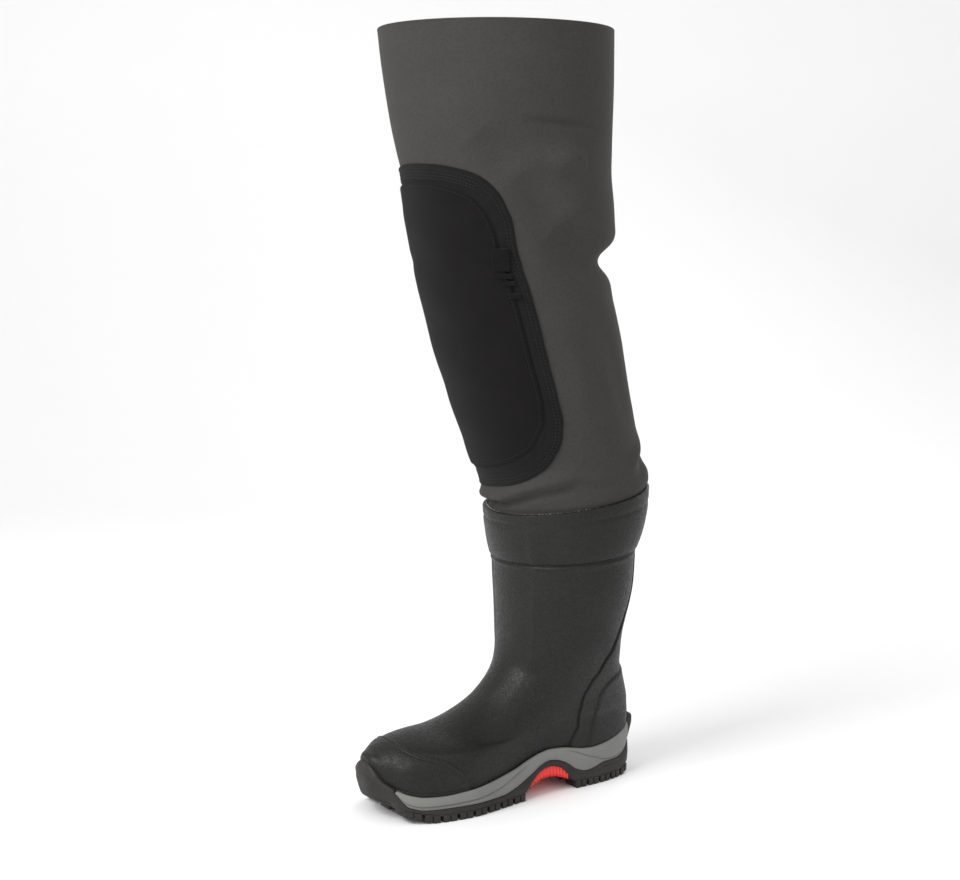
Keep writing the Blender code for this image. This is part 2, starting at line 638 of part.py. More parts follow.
def build_insole(look):
    bm = bmesh.new()
    low, high = [], []
    for turn in sole_turns():
        x, _ = outline(turn)
        spot = outline(turn, edge_wall(x) + GAP + BOOT_WALL + INSOLE_CLEAR)
        seat = facet("bed", spot[0], edge_wall) + SEAT
        low.append(placed(*spot, seat))
        high.append(placed(*spot, seat + INSOLE_THICK))
    rows = loops(bm, [low, high])
    ladder(bm, rows[0])
    ladder(bm, rows[-1])
    finish("insole", bm, look)


def build_upper(look):
    outer = [[ring(u, a) for a in turns()] for u in (-1,) + SHELL_RINGS]
    inner = [[inside_boot(u, a, BOOT_WALL) for a in turns()] for u in LINER_RINGS]
    tube("upper", outer, inner, look)


def inside_boot(u, turn, depth):
    """Point inside the upper's wall, level with its outer face in the cup and at the collar."""
    point = raised(ring, min(u, COLLAR_RING - 0.03), turn, -depth)
    if u <= 0.0 or u >= COLLAR_RING:
        point.z = ring(u, turn).z
    if u < 0.0:
        x, _ = outline(turn)
        point = placed(*outline(turn, edge_wall(x) + GAP + depth), ring(u, turn).z)
    return point


def build_leg(look):
    first = COLLAR_RING - 3.0
    laps = [first, first + 1.0, first + 2.0, first + 3.0]
    out = BOOT_WALL + GAP
    outer = [[inside_boot(u, a, out) for a in turns()] for u in laps]
    inner = [[inside_boot(u, a, out + LEG_WALL) for a in turns()] for u in laps]
    ups = [row.up for row in LEG]
    outer += [[leg_ring(up, a) for a in turns()] for up in ups]
    inner += [[inside_leg(up, a) for a in turns()] for up in ups[2::2]]
    tube("leg", outer, inner, look)


def inside_leg(up, turn):
    point = raised(leg_ring, up, turn, -LEG_WALL)
    if up >= 1.0:
        point.z = LEG_TOP
    return point


def boot_sheet(name, table, centre, low, thick, look):
    """An overlay of the upper, even about the toe or the heel."""
    ends = [row.ring for row in table if row.ring % 1.0]
    levels = sorted(set(ends) | {u for u in SHELL_RINGS if table[0].ring < u < table[-1].ring})

    def bounds(u):
        half = math.radians(read(table, "turn", u, "ring"))
        return -half, half

    sheet(name, ring, levels, bounds, lambda turn: (levels[0], levels[-1]), centre, low, thick, look)


def build_overlays(look):
    boot_sheet("toe_cap", CAP, 0.0, SEAT + GAP, CAP_THICK, look)
    boot_sheet("back_stay", STAY, math.pi, SEAT, STAY_THICK, look)
    boot_sheet("heel_counter", COUNTER, math.pi, STAY_THICK + 3 * SEAT, COUNTER_THICK, look)


# Kick spur from below: up is a share of SOLE_RISE, out a share of SPUR_DEPTH
Step = namedtuple("Step", "up out")
SPUR = (Step(0.66, 0.35), Step(1.02, 0.95), Step(1.16, 1.0), Step(1.25, 0.72))
SPUR_SPREAD = 0.62       # turn of its half on the squarish outline, against that on a round heel
SPUR_FACETS = 6


def build_spur(look):
    """Small ledge behind the heel: follows the sole's outline and tapers downwards."""
    half = math.asin(SPUR_WIDTH / HEEL_WIDTH) * SPUR_SPREAD
    bm = bmesh.new()
    rows = []
    for step in SPUR:
        near, far = [], []
        for i in range(SPUR_FACETS + 1):
            turn = math.pi + blend(-half, half, i / SPUR_FACETS)
            near.append(placed(*outline(turn, -SEAT), step.up * SOLE_RISE))
            far.append(placed(*outline(turn, -SEAT - SPUR_DEPTH * step.out), step.up * SOLE_RISE))
        rows.append(near + far[::-1])
    made = loops(bm, rows)
    count = SPUR_FACETS + 1
    for loop in (made[0], made[-1]):
        for i in range(SPUR_FACETS):
            bm.faces.new((loop[i], loop[i + 1], loop[2 * count - 2 - i], loop[2 * count - 1 - i]))
    finish("kick_spur", bm, look)


def build_knee(pad_look, pocket_look):
    """The pad, and on it the pocket, drawn in from the pad's edge by the border."""
    inset = PAD_BORDER / (LEG_TOP - BOOT_HEIGHT)
    border = PAD_BORDER / (KNEE_WIDTH / 2)
    widest = math.radians(PAD[1].outer)
    levels = [row.up for row in LEG if ENDS[0].low - 0.12 < row.up < ENDS[8].high + 0.04]

    def sides(up, drawn=0.0):
        return (math.radians(read(PAD, "inner", up, "up")) + drawn,
                math.radians(read(PAD, "outer", up, "up")) - drawn)

    def ends(turn, drawn=0.0):
        turn = math.degrees(turn) * widest / (widest - drawn)
        up = drawn / border * inset
        return read(ENDS, "low", turn, "turn") + up, read(ENDS, "high", turn, "turn") - up

    sheet("knee_pad", leg_ring, levels, sides, ends, 0.0, GAP, PAD_THICK, pad_look)
    low = PAD_THICK + 2 * SEAT + GAP
    sheet("knee_pocket", leg_ring, levels, lambda up: sides(up, border), lambda turn: ends(turn, border),
          0.0, low, POCKET_THICK, pocket_look)


def main():
    for thing in list(bpy.data.objects):
        bpy.data.objects.remove(thing)
    black = ((0.024, 0.023, 0.022), 0.62)
    rubber = ((0.037, 0.036, 0.034), 0.55)
    build_outsole(black)
    build_midsole(((0.20, 0.20, 0.19), 0.55))
    build_arch_insert(((0.85, 0.045, 0.04), 0.45))
    build_insole(((0.03, 0.03, 0.03), 0.9))
    build_upper(rubber)
    build_leg(((0.075, 0.073, 0.070), 0.9))
    build_overlays(rubber)
    build_spur(black)
    build_knee(((0.014, 0.013, 0.014), 0.85), ((0.016, 0.015, 0.016), 0.9))


main()
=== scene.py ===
"""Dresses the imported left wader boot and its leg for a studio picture, for Blender 4.5.

Laid out as a Blender add-on and run as a script. The tables repeat those of the part's source:
boot_wall() and leg_wall() give the same surfaces, and each piece adds folds, seams and grain.
Metres, +X to the toe, +Y to the outer side, +Z up.
"""
import math
from collections import namedtuple

import bmesh
import bpy
import numpy as np
from bpy.props import FloatProperty, FloatVectorProperty, PointerProperty
from mathutils import Matrix, Vector, kdtree


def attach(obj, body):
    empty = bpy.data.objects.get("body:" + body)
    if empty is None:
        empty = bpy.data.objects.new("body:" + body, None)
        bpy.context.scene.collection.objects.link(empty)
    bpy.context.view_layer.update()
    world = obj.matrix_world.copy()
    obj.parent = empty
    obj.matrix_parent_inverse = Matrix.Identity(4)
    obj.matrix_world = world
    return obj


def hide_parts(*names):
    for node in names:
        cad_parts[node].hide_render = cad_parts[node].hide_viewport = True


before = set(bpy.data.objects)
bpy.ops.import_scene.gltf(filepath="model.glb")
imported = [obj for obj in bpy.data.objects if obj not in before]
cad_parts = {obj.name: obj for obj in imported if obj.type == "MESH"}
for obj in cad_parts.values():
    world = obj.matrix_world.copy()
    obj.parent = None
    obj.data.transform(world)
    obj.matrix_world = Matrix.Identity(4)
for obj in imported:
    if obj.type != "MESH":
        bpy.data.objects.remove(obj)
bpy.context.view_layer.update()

bl_info = {
    "name": "Neoprene wader leg",
    "version": (1, 0, 0),
    "blender": (4, 5, 0),
    "location": "3D View > Sidebar > Wader",
    "description": "Builds the left boot and leg of a neoprene chest wader over its packed frame",
    "category": "Add Mesh",
}

# Driving sizes
SOLE_LENGTH = 0.306
BALL_WIDTH = 0.118
WAIST_WIDTH = 0.083
HEEL_WIDTH = 0.078
SOLE_RISE = 0.045        # floor to the rim of the cup sole above the arch
HEEL_SET = 0.045         # origin to the back of the heel
BOOT_HEIGHT = 0.290      # floor to the middle of the collar's edge
COLLAR_WIDTH = 0.159
LEG_TOP = 0.742
LEG_REACH = 0.190        # how far the leg's middle line may stand forward of the heel's back
KNEE_WIDTH = 0.188

# Walls and clearances
GAP = 0.0003
SEAT = 0.00045           # clearance under the moulded overlays, whose facets differ a little
RIM_WALL = 0.0038
BUMPER_WALL = 0.0052
BOOT_WALL = 0.0040
LEG_WALL = 0.0040
CAP_THICK = 0.0014
STAY_THICK = 0.0012
COUNTER_THICK = 0.0014
PAD_THICK = 0.0020
POCKET_THICK = 0.0020
PAD_BORDER = 0.017
INSOLE_THICK = 0.0045
INSOLE_CLEAR = 0.0012
SPUR_DEPTH = 0.0085
SPUR_WIDTH = 0.030
LUG_PROUD = 0.0010
TOOTH_DEPTH = 0.0024
FLARE = 0.0016           # chamfer round the black sole's underside
TOE_CHANGE = (0.93, 0.985)
DRAFT_HEIGHTS = (0.0, 0.018, 0.021, 0.027, 0.035, 0.044, 0.054)
DRAFT_INSETS = (0.009, 0.009, 0.0048, 0.003, 0.001, 0.0, 0.003)

SQUARENESS = 3.0         # of the sole's outline, where 2 is an ellipse


def circle(count):
    """Angles of evenly spread points round a ring."""
    return np.linspace(0, 2 * np.pi, count, endpoint=False)


def table_of(kind, *values):
    """Rows of a table with named columns."""
    return tuple(kind(*row) for row in values)


# Half widths of the foot. along is a share of SOLE_LENGTH, outer and inner of the named width
Plan = namedtuple("Plan", "along size outer inner")
PLAN = table_of(Plan,
    (0.00, HEEL_WIDTH, 0.53, 0.53),
    (0.15, HEEL_WIDTH, 0.55, 0.55),
    (0.30, WAIST_WIDTH, 0.500, 0.496),
    (0.38, WAIST_WIDTH, 0.505, 0.498),
    (0.49, WAIST_WIDTH, 0.55, 0.545),
    (0.62, BALL_WIDTH, 0.462, 0.468),
    (0.71, BALL_WIDTH, 0.508, 0.512),
    (0.82, BALL_WIDTH, 0.516, 0.505),
    (0.90, BALL_WIDTH, 0.500, 0.490),
    (0.95, BALL_WIDTH, 0.445, 0.430),
    (1.00, BALL_WIDTH, 0.350, 0.340))

# Side of the sole. along is a share of SOLE_LENGTH, the heights are shares of SOLE_RISE:
# tread is where the lugs end, slab the slab's underside, wall the top of the black side wall,
# shelf the black sole's top under the foam, bed the footbed and rim the cup's edge
Sole = namedtuple("Sole", "along tread slab wall shelf bed rim")
SOLE = table_of(Sole,
    (0.000, 0.20, 0.29, 0.76, 0.47, 0.82, 1.10),
    (0.020, 0.13, 0.24, 0.68, 0.47, 0.815, 1.09),
    (0.040, 0.07, 0.19, 0.58, 0.465, 0.81, 1.06),
    (0.065, 0.00, 0.15, 0.49, 0.46, 0.805, 1.01),
    (0.092, 0.00, 0.13, 0.455, 0.455, 0.80, 0.96),
    (0.150, 0.00, 0.13, 0.455, 0.455, 0.79, 0.89),
    (0.196, 0.00, 0.13, 0.38, 0.38, 0.785, 0.86),
    (0.230, 0.00, 0.13, 0.35, 0.35, 0.785, 0.87),
    (0.274, 0.00, 0.16, 0.44, 0.44, 0.80, 0.92),
    (0.294, 0.00, 0.25, 0.54, 0.54, 0.812, 0.95),
    (0.314, 0.00, 0.42, 0.63, 0.63, 0.826, 0.975),
    (0.343, 0.00, 0.575, 0.715, 0.715, 0.840, 1.00),
    (0.379, 0.00, 0.635, 0.76, 0.76, 0.846, 1.01),
    (0.418, 0.00, 0.575, 0.69, 0.69, 0.828, 0.975),
    (0.451, 0.00, 0.40, 0.57, 0.57, 0.796, 0.92),
    (0.471, 0.00, 0.25, 0.50, 0.50, 0.772, 0.88),
    (0.490, 0.00, 0.14, 0.44, 0.44, 0.74, 0.84),
    (0.523, 0.00, 0.12, 0.35, 0.35, 0.67, 0.77),
    (0.582, 0.00, 0.12, 0.27, 0.27, 0.59, 0.70),
    (0.650, 0.00, 0.12, 0.265, 0.265, 0.51, 0.63),
    (0.732, 0.00, 0.12, 0.275, 0.275, 0.455, 0.58),
    (0.807, 0.00, 0.12, 0.28, 0.28, 0.445, 0.55),
    (0.866, 0.07, 0.19, 0.285, 0.285, 0.465, 0.56),
    (0.912, 0.16, 0.25, 0.36, 0.33, 0.495, 0.62),
    (0.928, 0.19, 0.275, 0.47, 0.35, 0.50, 0.66),
    (0.941, 0.22, 0.295, 0.61, 0.36, 0.505, 0.70),
    (0.949, 0.24, 0.31, 0.695, 0.37, 0.508, 0.71),
    (0.9494, 0.24, 0.31, 0.72, 0.37, 0.508, 0.72),
    (0.958, 0.26, 0.325, 0.77, 0.38, 0.51, 0.77),
    (0.975, 0.30, 0.36, 0.87, 0.42, 0.515, 0.87),
    (0.990, 0.34, 0.39, 1.06, 0.44, 0.518, 1.06),
    (1.000, 0.36, 0.41, 1.20, 0.45, 0.52, 1.20))
NOSE = 0.9475            # share of SOLE_LENGTH where the foam's side ends at the bumper
WALL_CHANGE = (0.925, 0.955)

# Rings of the upper from the sole to the collar. front and back are shares of SOLE_LENGTH,
# measured in from the upper's toe and heel at the sole; front_up and back_up are shares of
# BOOT_HEIGHT; width is the half width of the shaft as a share of COLLAR_WIDTH, and shaft is
# how much of it rules; sag lowers the sides of the vamp, as a share of BOOT_HEIGHT
Ring = namedtuple("Ring", "front front_up back back_up width shaft square sag", defaults=(0.0,))
RINGS = table_of(Ring,
    (0.000, 0.170, 0.000, 0.169, 0.30, 0.00, 3.00),
    (0.001, 0.188, 0.000, 0.183, 0.30, 0.00, 3.00, 0.002),
    (0.008, 0.208, -0.001, 0.197, 0.30, 0.00, 2.98, 0.008),
    (0.026, 0.228, -0.002, 0.209, 0.30, 0.02, 2.94, 0.018),
    (0.052, 0.244, -0.002, 0.221, 0.30, 0.05, 2.86, 0.028),
    (0.099, 0.2585, -0.002, 0.232, 0.30, 0.10, 2.78, 0.036),
    (0.156, 0.2655, -0.001, 0.243, 0.30, 0.15, 2.70, 0.041),
    (0.221, 0.2700, 0.000, 0.255, 0.30, 0.22, 2.62, 0.043),
    (0.283, 0.2830, 0.001, 0.268, 0.305, 0.30, 2.54, 0.041),
    (0.345, 0.308, 0.004, 0.284, 0.308, 0.40, 2.46, 0.038),
    (0.401, 0.339, 0.011, 0.305, 0.316, 0.50, 2.40, 0.034),
    (0.447, 0.377, 0.020, 0.330, 0.328, 0.62, 2.34, 0.029),
    (0.483, 0.413, 0.031, 0.358, 0.342, 0.74, 2.28, 0.022),
    (0.506, 0.448, 0.042, 0.392, 0.358, 0.86, 2.22, 0.015),
    (0.515, 0.486, 0.049, 0.430, 0.376, 0.95, 2.16, 0.008),
    (0.520, 0.527, 0.050, 0.474, 0.392, 1.00, 2.12, 0.003),
    (0.520, 0.572, 0.045, 0.524, 0.406, 1.00, 2.08),
    (0.519, 0.620, 0.033, 0.578, 0.420, 1.00, 2.06),
    (0.517, 0.676, 0.017, 0.640, 0.436, 1.00, 2.04),
    (0.515, 0.724, 0.006, 0.706, 0.450, 1.00, 2.03),
    (0.512, 0.790, -0.002, 0.826, 0.460, 1.00, 2.02),
    (0.508, 0.795, -0.008, 0.831, 0.469, 1.00, 2.02),
    (0.498, 0.826, -0.024, 0.862, 0.484, 1.00, 2.00),
    (0.487, 0.880, -0.045, 0.925, 0.494, 1.00, 2.00),
    (0.480, 0.930, -0.056, 0.990, 0.500, 1.00, 2.00),
    (0.478, 0.962, -0.058, 1.038, 0.500, 1.00, 2.00))
WAVE_FADE = 7.0          # rings over which the cup's wavy line dies out
SAG_PEAK = 0.4219        # largest value of the sag's weight round the ring
COLLAR_RING = 25.0

# The leg above the collar. up is a share of the height from the collar to the top, middle of
# LEG_REACH from the heel's back, radius and side of KNEE_WIDTH, tilt of the collar's slope
Leg = namedtuple("Leg", "up middle radius side tilt", defaults=(0.0,))
LEG = table_of(Leg,
    (0.004, 0.366, 0.421, 0.409, 1.00),
    (0.016, 0.366, 0.437, 0.418, 1.00),
    (0.034, 0.372, 0.440, 0.420, 0.95),
    (0.062, 0.398, 0.434, 0.418, 0.70),
    (0.100, 0.432, 0.444, 0.426, 0.35),
    (0.145, 0.461, 0.456, 0.436, 0.10),
    (0.190, 0.489, 0.464, 0.446),
    (0.224, 0.512, 0.470, 0.452),
    (0.257, 0.532, 0.476, 0.457),
    (0.298, 0.556, 0.484, 0.464),
    (0.354, 0.586, 0.492, 0.470),
    (0.409, 0.616, 0.492, 0.472),
    (0.464, 0.652, 0.488, 0.472),
    (0.506, 0.672, 0.482, 0.474),
    (0.540, 0.666, 0.508, 0.484),
    (0.580, 0.652, 0.534, 0.504),
    (0.630, 0.660, 0.540, 0.514),
    (0.686, 0.674, 0.542, 0.520),
    (0.742, 0.688, 0.558, 0.534),
    (0.797, 0.698, 0.574, 0.548),
    (0.870, 0.706, 0.592, 0.562),
    (0.940, 0.714, 0.604, 0.574),
    (1.000, 0.719, 0.612, 0.580))
LEG_LEAN = 0.19          # of the middle line to the inner side, as a share of KNEE_WIDTH

# Soft hollows in the leg. up and tall are shares of the leg's height above the collar,
# turn and wide are degrees round it, deep is a share of KNEE_WIDTH
Hollow = namedtuple("Hollow", "up turn tall wide deep")
HOLLOWS = table_of(Hollow,
    (0.015, -10.0, 0.012, 70.0, 0.012),
    (0.760, 78.0, 0.080, 26.0, 0.030),
    (0.560, 104.0, 0.050, 22.0, 0.024),
    (0.515, 160.0, 0.022, 46.0, 0.020))

# Sides of the knee pad. up is a share of the leg's height above the collar, inner and outer
# are degrees round the leg from its front
Pad = namedtuple("Pad", "up inner outer")
PAD = table_of(Pad,
    (0.100, -75.0, 66.0),
    (0.145, -75.0, 67.0),
    (0.190, -74.0, 68.0),
    (0.224, -69.0, 68.0),
    (0.257, -60.0, 68.0),
    (0.298, -51.5, 67.5),
    (0.354, -47.0, 67.0),
    (0.409, -46.0, 66.5),
    (0.464, -47.0, 66.0),
    (0.506, -49.5, 63.8),
    (0.540, -51.5, 61.5),
    (0.580, -53.0, 58.8),
    (0.630, -53.5, 57.5))

# Ends of the knee pad: how low and how high it reaches at each angle
End = namedtuple("End", "turn low high")
ENDS = table_of(End,
    (-75.0, 0.140, 0.600),
    (-71.5, 0.086, 0.600),
    (-67.0, 0.060, 0.600),
    (-59.0, 0.041, 0.600),
    (-53.5, 0.052, 0.610),
    (-48.0, 0.051, 0.674),
    (-40.0, 0.050, 0.700),
    (-24.0, 0.050, 0.713),
    (0.0, 0.054, 0.717),
    (18.0, 0.060, 0.714),
    (33.0, 0.070, 0.704),
    (42.0, 0.080, 0.692),
    (49.0, 0.090, 0.672),
    (54.0, 0.102, 0.645),
    (57.5, 0.114, 0.610),
    (64.0, 0.143, 0.590),
    (68.0, 0.190, 0.570))

# Overlays of the boot: half their reach round the toe or the heel at each ring, in degrees
Reach = namedtuple("Reach", "ring turn")
CAP = table_of(Reach, (0.0, 66.0), (0.9, 65.0), (1.8, 63.0), (2.7, 59.0), (3.8, 53.0), (4.2, 48.0),
    (4.4, 40.0), (4.6, 27.0), (4.75, 12.0))
STAY = table_of(Reach, (0.0, 67.0), (1.4, 65.0), (3.6, 64.0), (5.0, 66.0), (6.5, 69.5), (8.0, 74.5),
    (9.7, 80.0), (10.9, 83.0), (12.3, 81.0), (13.1, 75.5), (14.4, 67.0), (15.1, 61.0), (16.0, 54.0),
    (18.0, 42.0), (19.9, 35.0))
COUNTER = table_of(Reach, (0.0, 59.0), (3.1, 58.0), (5.2, 59.0), (7.0, 62.5), (8.7, 66.0), (10.5, 69.0),
    (11.5, 66.5), (12.2, 59.0), (12.7, 46.0), (13.1, 32.0), (13.5, 16.0))
VAMP_EDGE = table_of(Reach, (3.0, 100.0), (8.55, 74.0), (10.2, 58.0), (11.25, 46.0), (12.3, 32.0))

# Tread blocks: first and last place as shares of SOLE_LENGTH, and how many stand there
Tread = namedtuple("Tread", "first last count")
TREADS = table_of(Tread, (0.030, 0.284, 5), (0.486, 0.932, 8))
LUG_FILL = 0.82          # of each block's pitch that is rubber
LUG_REACH = 0.30         # of the ball's half width that a side block reaches inwards
MID_REACH = 0.15         # and that a middle block reaches to each side
MID_TRIM = 0.1           # of the pitch that it is shorter at each end
LUG_SLOT = 0.0015        # least gap between a side block and a middle one
LUG_ROOT = 0.04          # of SOLE_RISE that a block runs up into the slab

# The scene's own sizes
COLUMNS = 240            # points round the leg
BOOT_COLUMNS = 360
GLUE_COLUMNS = 900
SOLE_COLUMNS = 720
INSOLE_COLUMNS = 240
OVERLAY_GRID = (420, 64)  # rays and rows of a laid-on sheet
PAD_GRID = (560, 72)
POCKET_GRID = (520, 84)
TAB_GRID = (96, 16)
PAD_REACH = (0.36, 1.1)  # how far the pad's rays look: share of the leg's height, and radians
EDGE_SEARCHES = 26
ROW_CROWDING = 1.7       # how much closer together the rows stand at a sheet's edge
LAP_START = COLLAR_RING - 3.0
LAP_END = COLLAR_RING - 0.05
BAND_RINGS = (19.5, 21.1)  # fine rows at the band under the collar
LINING_STEP = 5          # every so many rows of the leg have one inside
LINING_ROWS = 30
OVERLAY_FOOT = -0.4      # ring below the cup's rim where the moulded overlays end
SEAM_DEEP = 0.0009       # sunk line along the moulded edges
SEAM_WIDE = 0.0012
SEAM_OUT = 0.0008        # from the edge to the middle of its sunk line
CAP_SEAM = 0.7           # shares of SEAM_DEEP
VAMP_SEAM = 0.6
VAMP_FADE = (3.0, 5.0)   # rings over which the vamp's seam comes in
OVERLAY_SUNK = 0.0003    # how deep a moulded overlay's edge goes into the wall
PAD_SUNK = 0.0004
GLUE_THICK = 0.0007
NOTCH = 0.0012           # slot in the middle of a side block
NOTCH_DEEP = 0.0006
EDGE_SOFTENING = 5       # passes that round the corners of a laid-on sheet
OVERLAY_ROUND = 0.0016
COUNTER_ROUND = 0.0050
PAD_ROUND = 0.0022
POCKET_ROUND = 0.0020
TAB_ROUND = 0.0008
RIM_ROUND = 0.0016
LUG_ROUND = 0.0009
FOLD_END = 0.30          # what is left of a fold's depth at its ends
PAD_MIDDLE = (0.37, 0.10)
TOP_STITCHES = 0.012     # depth of the pad's top border that has extra rows of stitches
TAB_THICK = 0.0014
CLOSURE = ((0.498, 0.545, 46.5, 56.5), (0.483, 0.493, 49.5, 57.5), (0.469, 0.478, 51.0, 58.5),
           (0.443, 0.454, 53.0, 60.0))    # low and high share of the leg's height, first and last turn
INSERT_SPAN = (0.308, 0.462)
TEETH = 12
TOOTH_POINTS = 16
INSERT_UNDER = (0.245, 0.135)  # underside as shares of SOLE_RISE: at the ends, and how much it arches
INSERT_LEAST = 0.0015
INSERT_INSETS = (0.0004, 0.0010, 0.0014)
RIB_DEEP = 0.0009
SPUR_SPREAD = 0.62
SPUR_SHAPE = ((0.66, 0.35), (0.80, 0.60), (0.98, 0.90), (1.04, 0.97), (1.14, 1.0), (1.19, 0.97), (1.23, 0.85),
              (1.25, 0.70))
RingRow = namedtuple("RingRow", ("at",) + Ring._fields)
RING_ROWS = tuple(RingRow(i, *row) for i, row in enumerate(RINGS))

# Raised and sunk lines: place, width and height. Places are rings of the boot, degrees round it,
# metres from a sheet's edge or shares of a side's height
BAND_LINES = ((19.80, 0.10, 0.0008), (21.05, 0.10, -0.0010), (20.02, 0.06, -0.0004),
              (COLLAR_RING - 1.0, 0.18, -0.0006))
GLUE_PATCHES = ((96.0, 24.0, 1.0), (340.0, 16.0, 1.0), (40.0, 20.0, 0.35))
CAP_LINES = ((0.0042, 0.0007, -0.0005),)
PAD_LINES = ((0.0042, 0.0006, -0.0006), (0.0075, 0.0006, -0.0005), (PAD_BORDER - 0.001, 0.0016, -0.0010))
POCKET_LINES = ((0.0035, 0.0006, -0.0005),)
SOLE_LINES = ((0.74, 0.03, 0.0007),)
TOP_STITCH_LINES = (0.0105, 0.0130)
STITCH_SHARE = 0.72      # of the pitch that one stitch is long
STITCH_AXIS = 0.085      # from the pad's middle back to the line that its stitches stand round

# Folds. up and turn are where a fold starts and ends, wide and deep are metres, deep below zero
# is a trough. In the leg up is a share of its height, in the boot it is a ring
Scale = namedtuple("Scale", "rise radius")
LEG_SCALE = Scale(LEG_TOP - BOOT_HEIGHT, 0.088)
BOOT_SCALE = Scale(0.0085, 0.070)
Fold = namedtuple("Fold", "up turn up_end turn_end wide deep")
LEG_FOLDS = table_of(Fold,
    (0.034, -36.0, 0.038, 8.0, 0.0055, 0.0066),
    (0.036, 4.0, 0.058, 36.0, 0.0055, 0.0060),
    (0.056, 30.0, 0.072, 66.0, 0.0060, 0.0050),
    (0.070, 60.0, 0.060, 98.0, 0.0060, 0.0016),
    (0.016, -36.0, 0.020, 10.0, 0.0036, -0.0050),
    (0.019, 4.0, 0.040, 36.0, 0.0036, -0.0052),
    (0.038, 30.0, 0.055, 68.0, 0.0040, -0.0046),
    (0.050, 62.0, 0.040, 100.0, 0.0060, -0.0014),
    (0.020, -46.0, 0.030, -22.0, 0.0020, -0.0013),
    (0.032, -48.0, 0.042, -24.0, 0.0018, -0.0012),
    (0.046, -46.0, 0.052, -28.0, 0.0020, -0.0011),
    (0.690, 64.0, 0.590, 88.0, 0.0240, -0.0105),
    (0.590, 84.0, 0.500, 114.0, 0.0200, -0.0070),
    (0.800, 72.0, 0.794, 108.0, 0.0030, -0.0034),
    (0.720, 80.0, 0.722, 106.0, 0.0120, 0.0080),
    (0.516, 124.0, 0.530, 186.0, 0.0120, -0.0040),
    (0.552, 132.0, 0.562, 182.0, 0.0110, 0.0028),
    (0.775, 44.0, 0.700, 62.0, 0.0220, -0.0060),
    (0.480, 128.0, 0.440, 178.0, 0.0120, 0.0022),
    (0.500, -124.0, 0.515, -176.0, 0.0120, -0.0040),
    (0.545, -104.0, 0.600, -76.0, 0.0180, -0.0050),
    (0.700, -96.0, 0.640, -70.0, 0.0200, -0.0050),
    (0.130, 152.0, 0.066, 112.0, 0.0090, 0.0030),
    (0.100, 156.0, 0.046, 120.0, 0.0070, -0.0026),
    (0.380, 84.0, 0.180, 86.0, 0.0150, 0.0022),
    (0.400, 112.0, 0.160, 122.0, 0.0160, -0.0022),
    (0.040, -110.0, 0.055, -160.0, 0.0060, -0.0022))
BOOT_FOLDS = table_of(Fold,
    (12.5, 30.0, 14.0, 62.0, 0.0060, -0.0012),
    (14.2, -30.0, 13.0, -60.0, 0.0060, -0.0012),
    (15.0, 96.0, 13.2, 118.0, 0.0080, -0.0012),
    (17.0, 60.0, 16.2, 100.0, 0.0080, -0.0008),
    (9.6, 20.0, 10.4, -20.0, 0.0080, -0.0010))


def curve(table, column, at, along):
    """A column of a table at places along it: a monotone cubic, for whole arrays."""
    xs = np.array([getattr(row, along) for row in table], float)
    return through(xs, np.array([getattr(row, column) for row in table], float), at)


def through(xs, ys, at):
    """Monotone cubic through points."""
    at = np.clip(at, xs[0], xs[-1])
    slopes = np.diff(ys) / np.diff(xs)
    product, total = slopes[:-1] * slopes[1:], slopes[:-1] + slopes[1:]
    inner = np.where(product > 0, 2 * product / np.where(total == 0, 1, total), 0)
    tangents = np.concatenate([slopes[:1], inner, slopes[-1:]])
    i = np.clip(np.searchsorted(xs, at) - 1, 0, len(slopes) - 1)
    step = xs[i + 1] - xs[i]
    t = (at - xs[i]) / step
    near, far = tangents[i] * step, tangents[i + 1] * step
    return (ys[i] * (2 * t**3 - 3 * t**2 + 1) + near * (t**3 - 2 * t**2 + t)
            + ys[i + 1] * (3 * t**2 - 2 * t**3) + far * (t**3 - t**2))


def blend(low, high, t):
    return low + (high - low) * t


def ease(low, high, at):
    t = np.clip((at - low) / (high - low), 0, 1)
    return t * t * (3 - 2 * t)


def joined(*parts):
    """Points from arrays of x, y and z."""
    return np.stack(np.broadcast_arrays(*parts), axis=-1)


def half_width(along, turn):
    """Half width of the foot on the side that the angle faces."""
    xs = np.array([row.along for row in PLAN])
    sides = [through(xs, np.array([row.size * getattr(row, side) for row in PLAN]), along)
             for side in ("outer", "inner")]
    return np.where(np.sin(turn) >= 0, *sides)


def reach(turn, square):
    c, s = np.abs(np.cos(turn)), np.abs(np.sin(turn))
    return (c**square + s**square) ** (-1.0 / square)


def height(column, along):
    """A height of the sole's side at a share of its length."""
    return SOLE_RISE * curve(SOLE, column, along, "along")


def edge_wall(along):
    """Thickness of the cup's rim, or of the bumper in front of the toe."""
    return blend(RIM_WALL, BUMPER_WALL, ease(*WALL_CHANGE, along))


def outline(turn, inset=0.0):
    """The sole's outline, as x from the heel's back and y."""
    radius = reach(turn, SQUARENESS)
    half = SOLE_LENGTH / 2
    x = half + (half - inset) * radius * np.cos(turn)
    return x, (half_width(x / SOLE_LENGTH, turn) - inset) * radius * np.sin(turn)


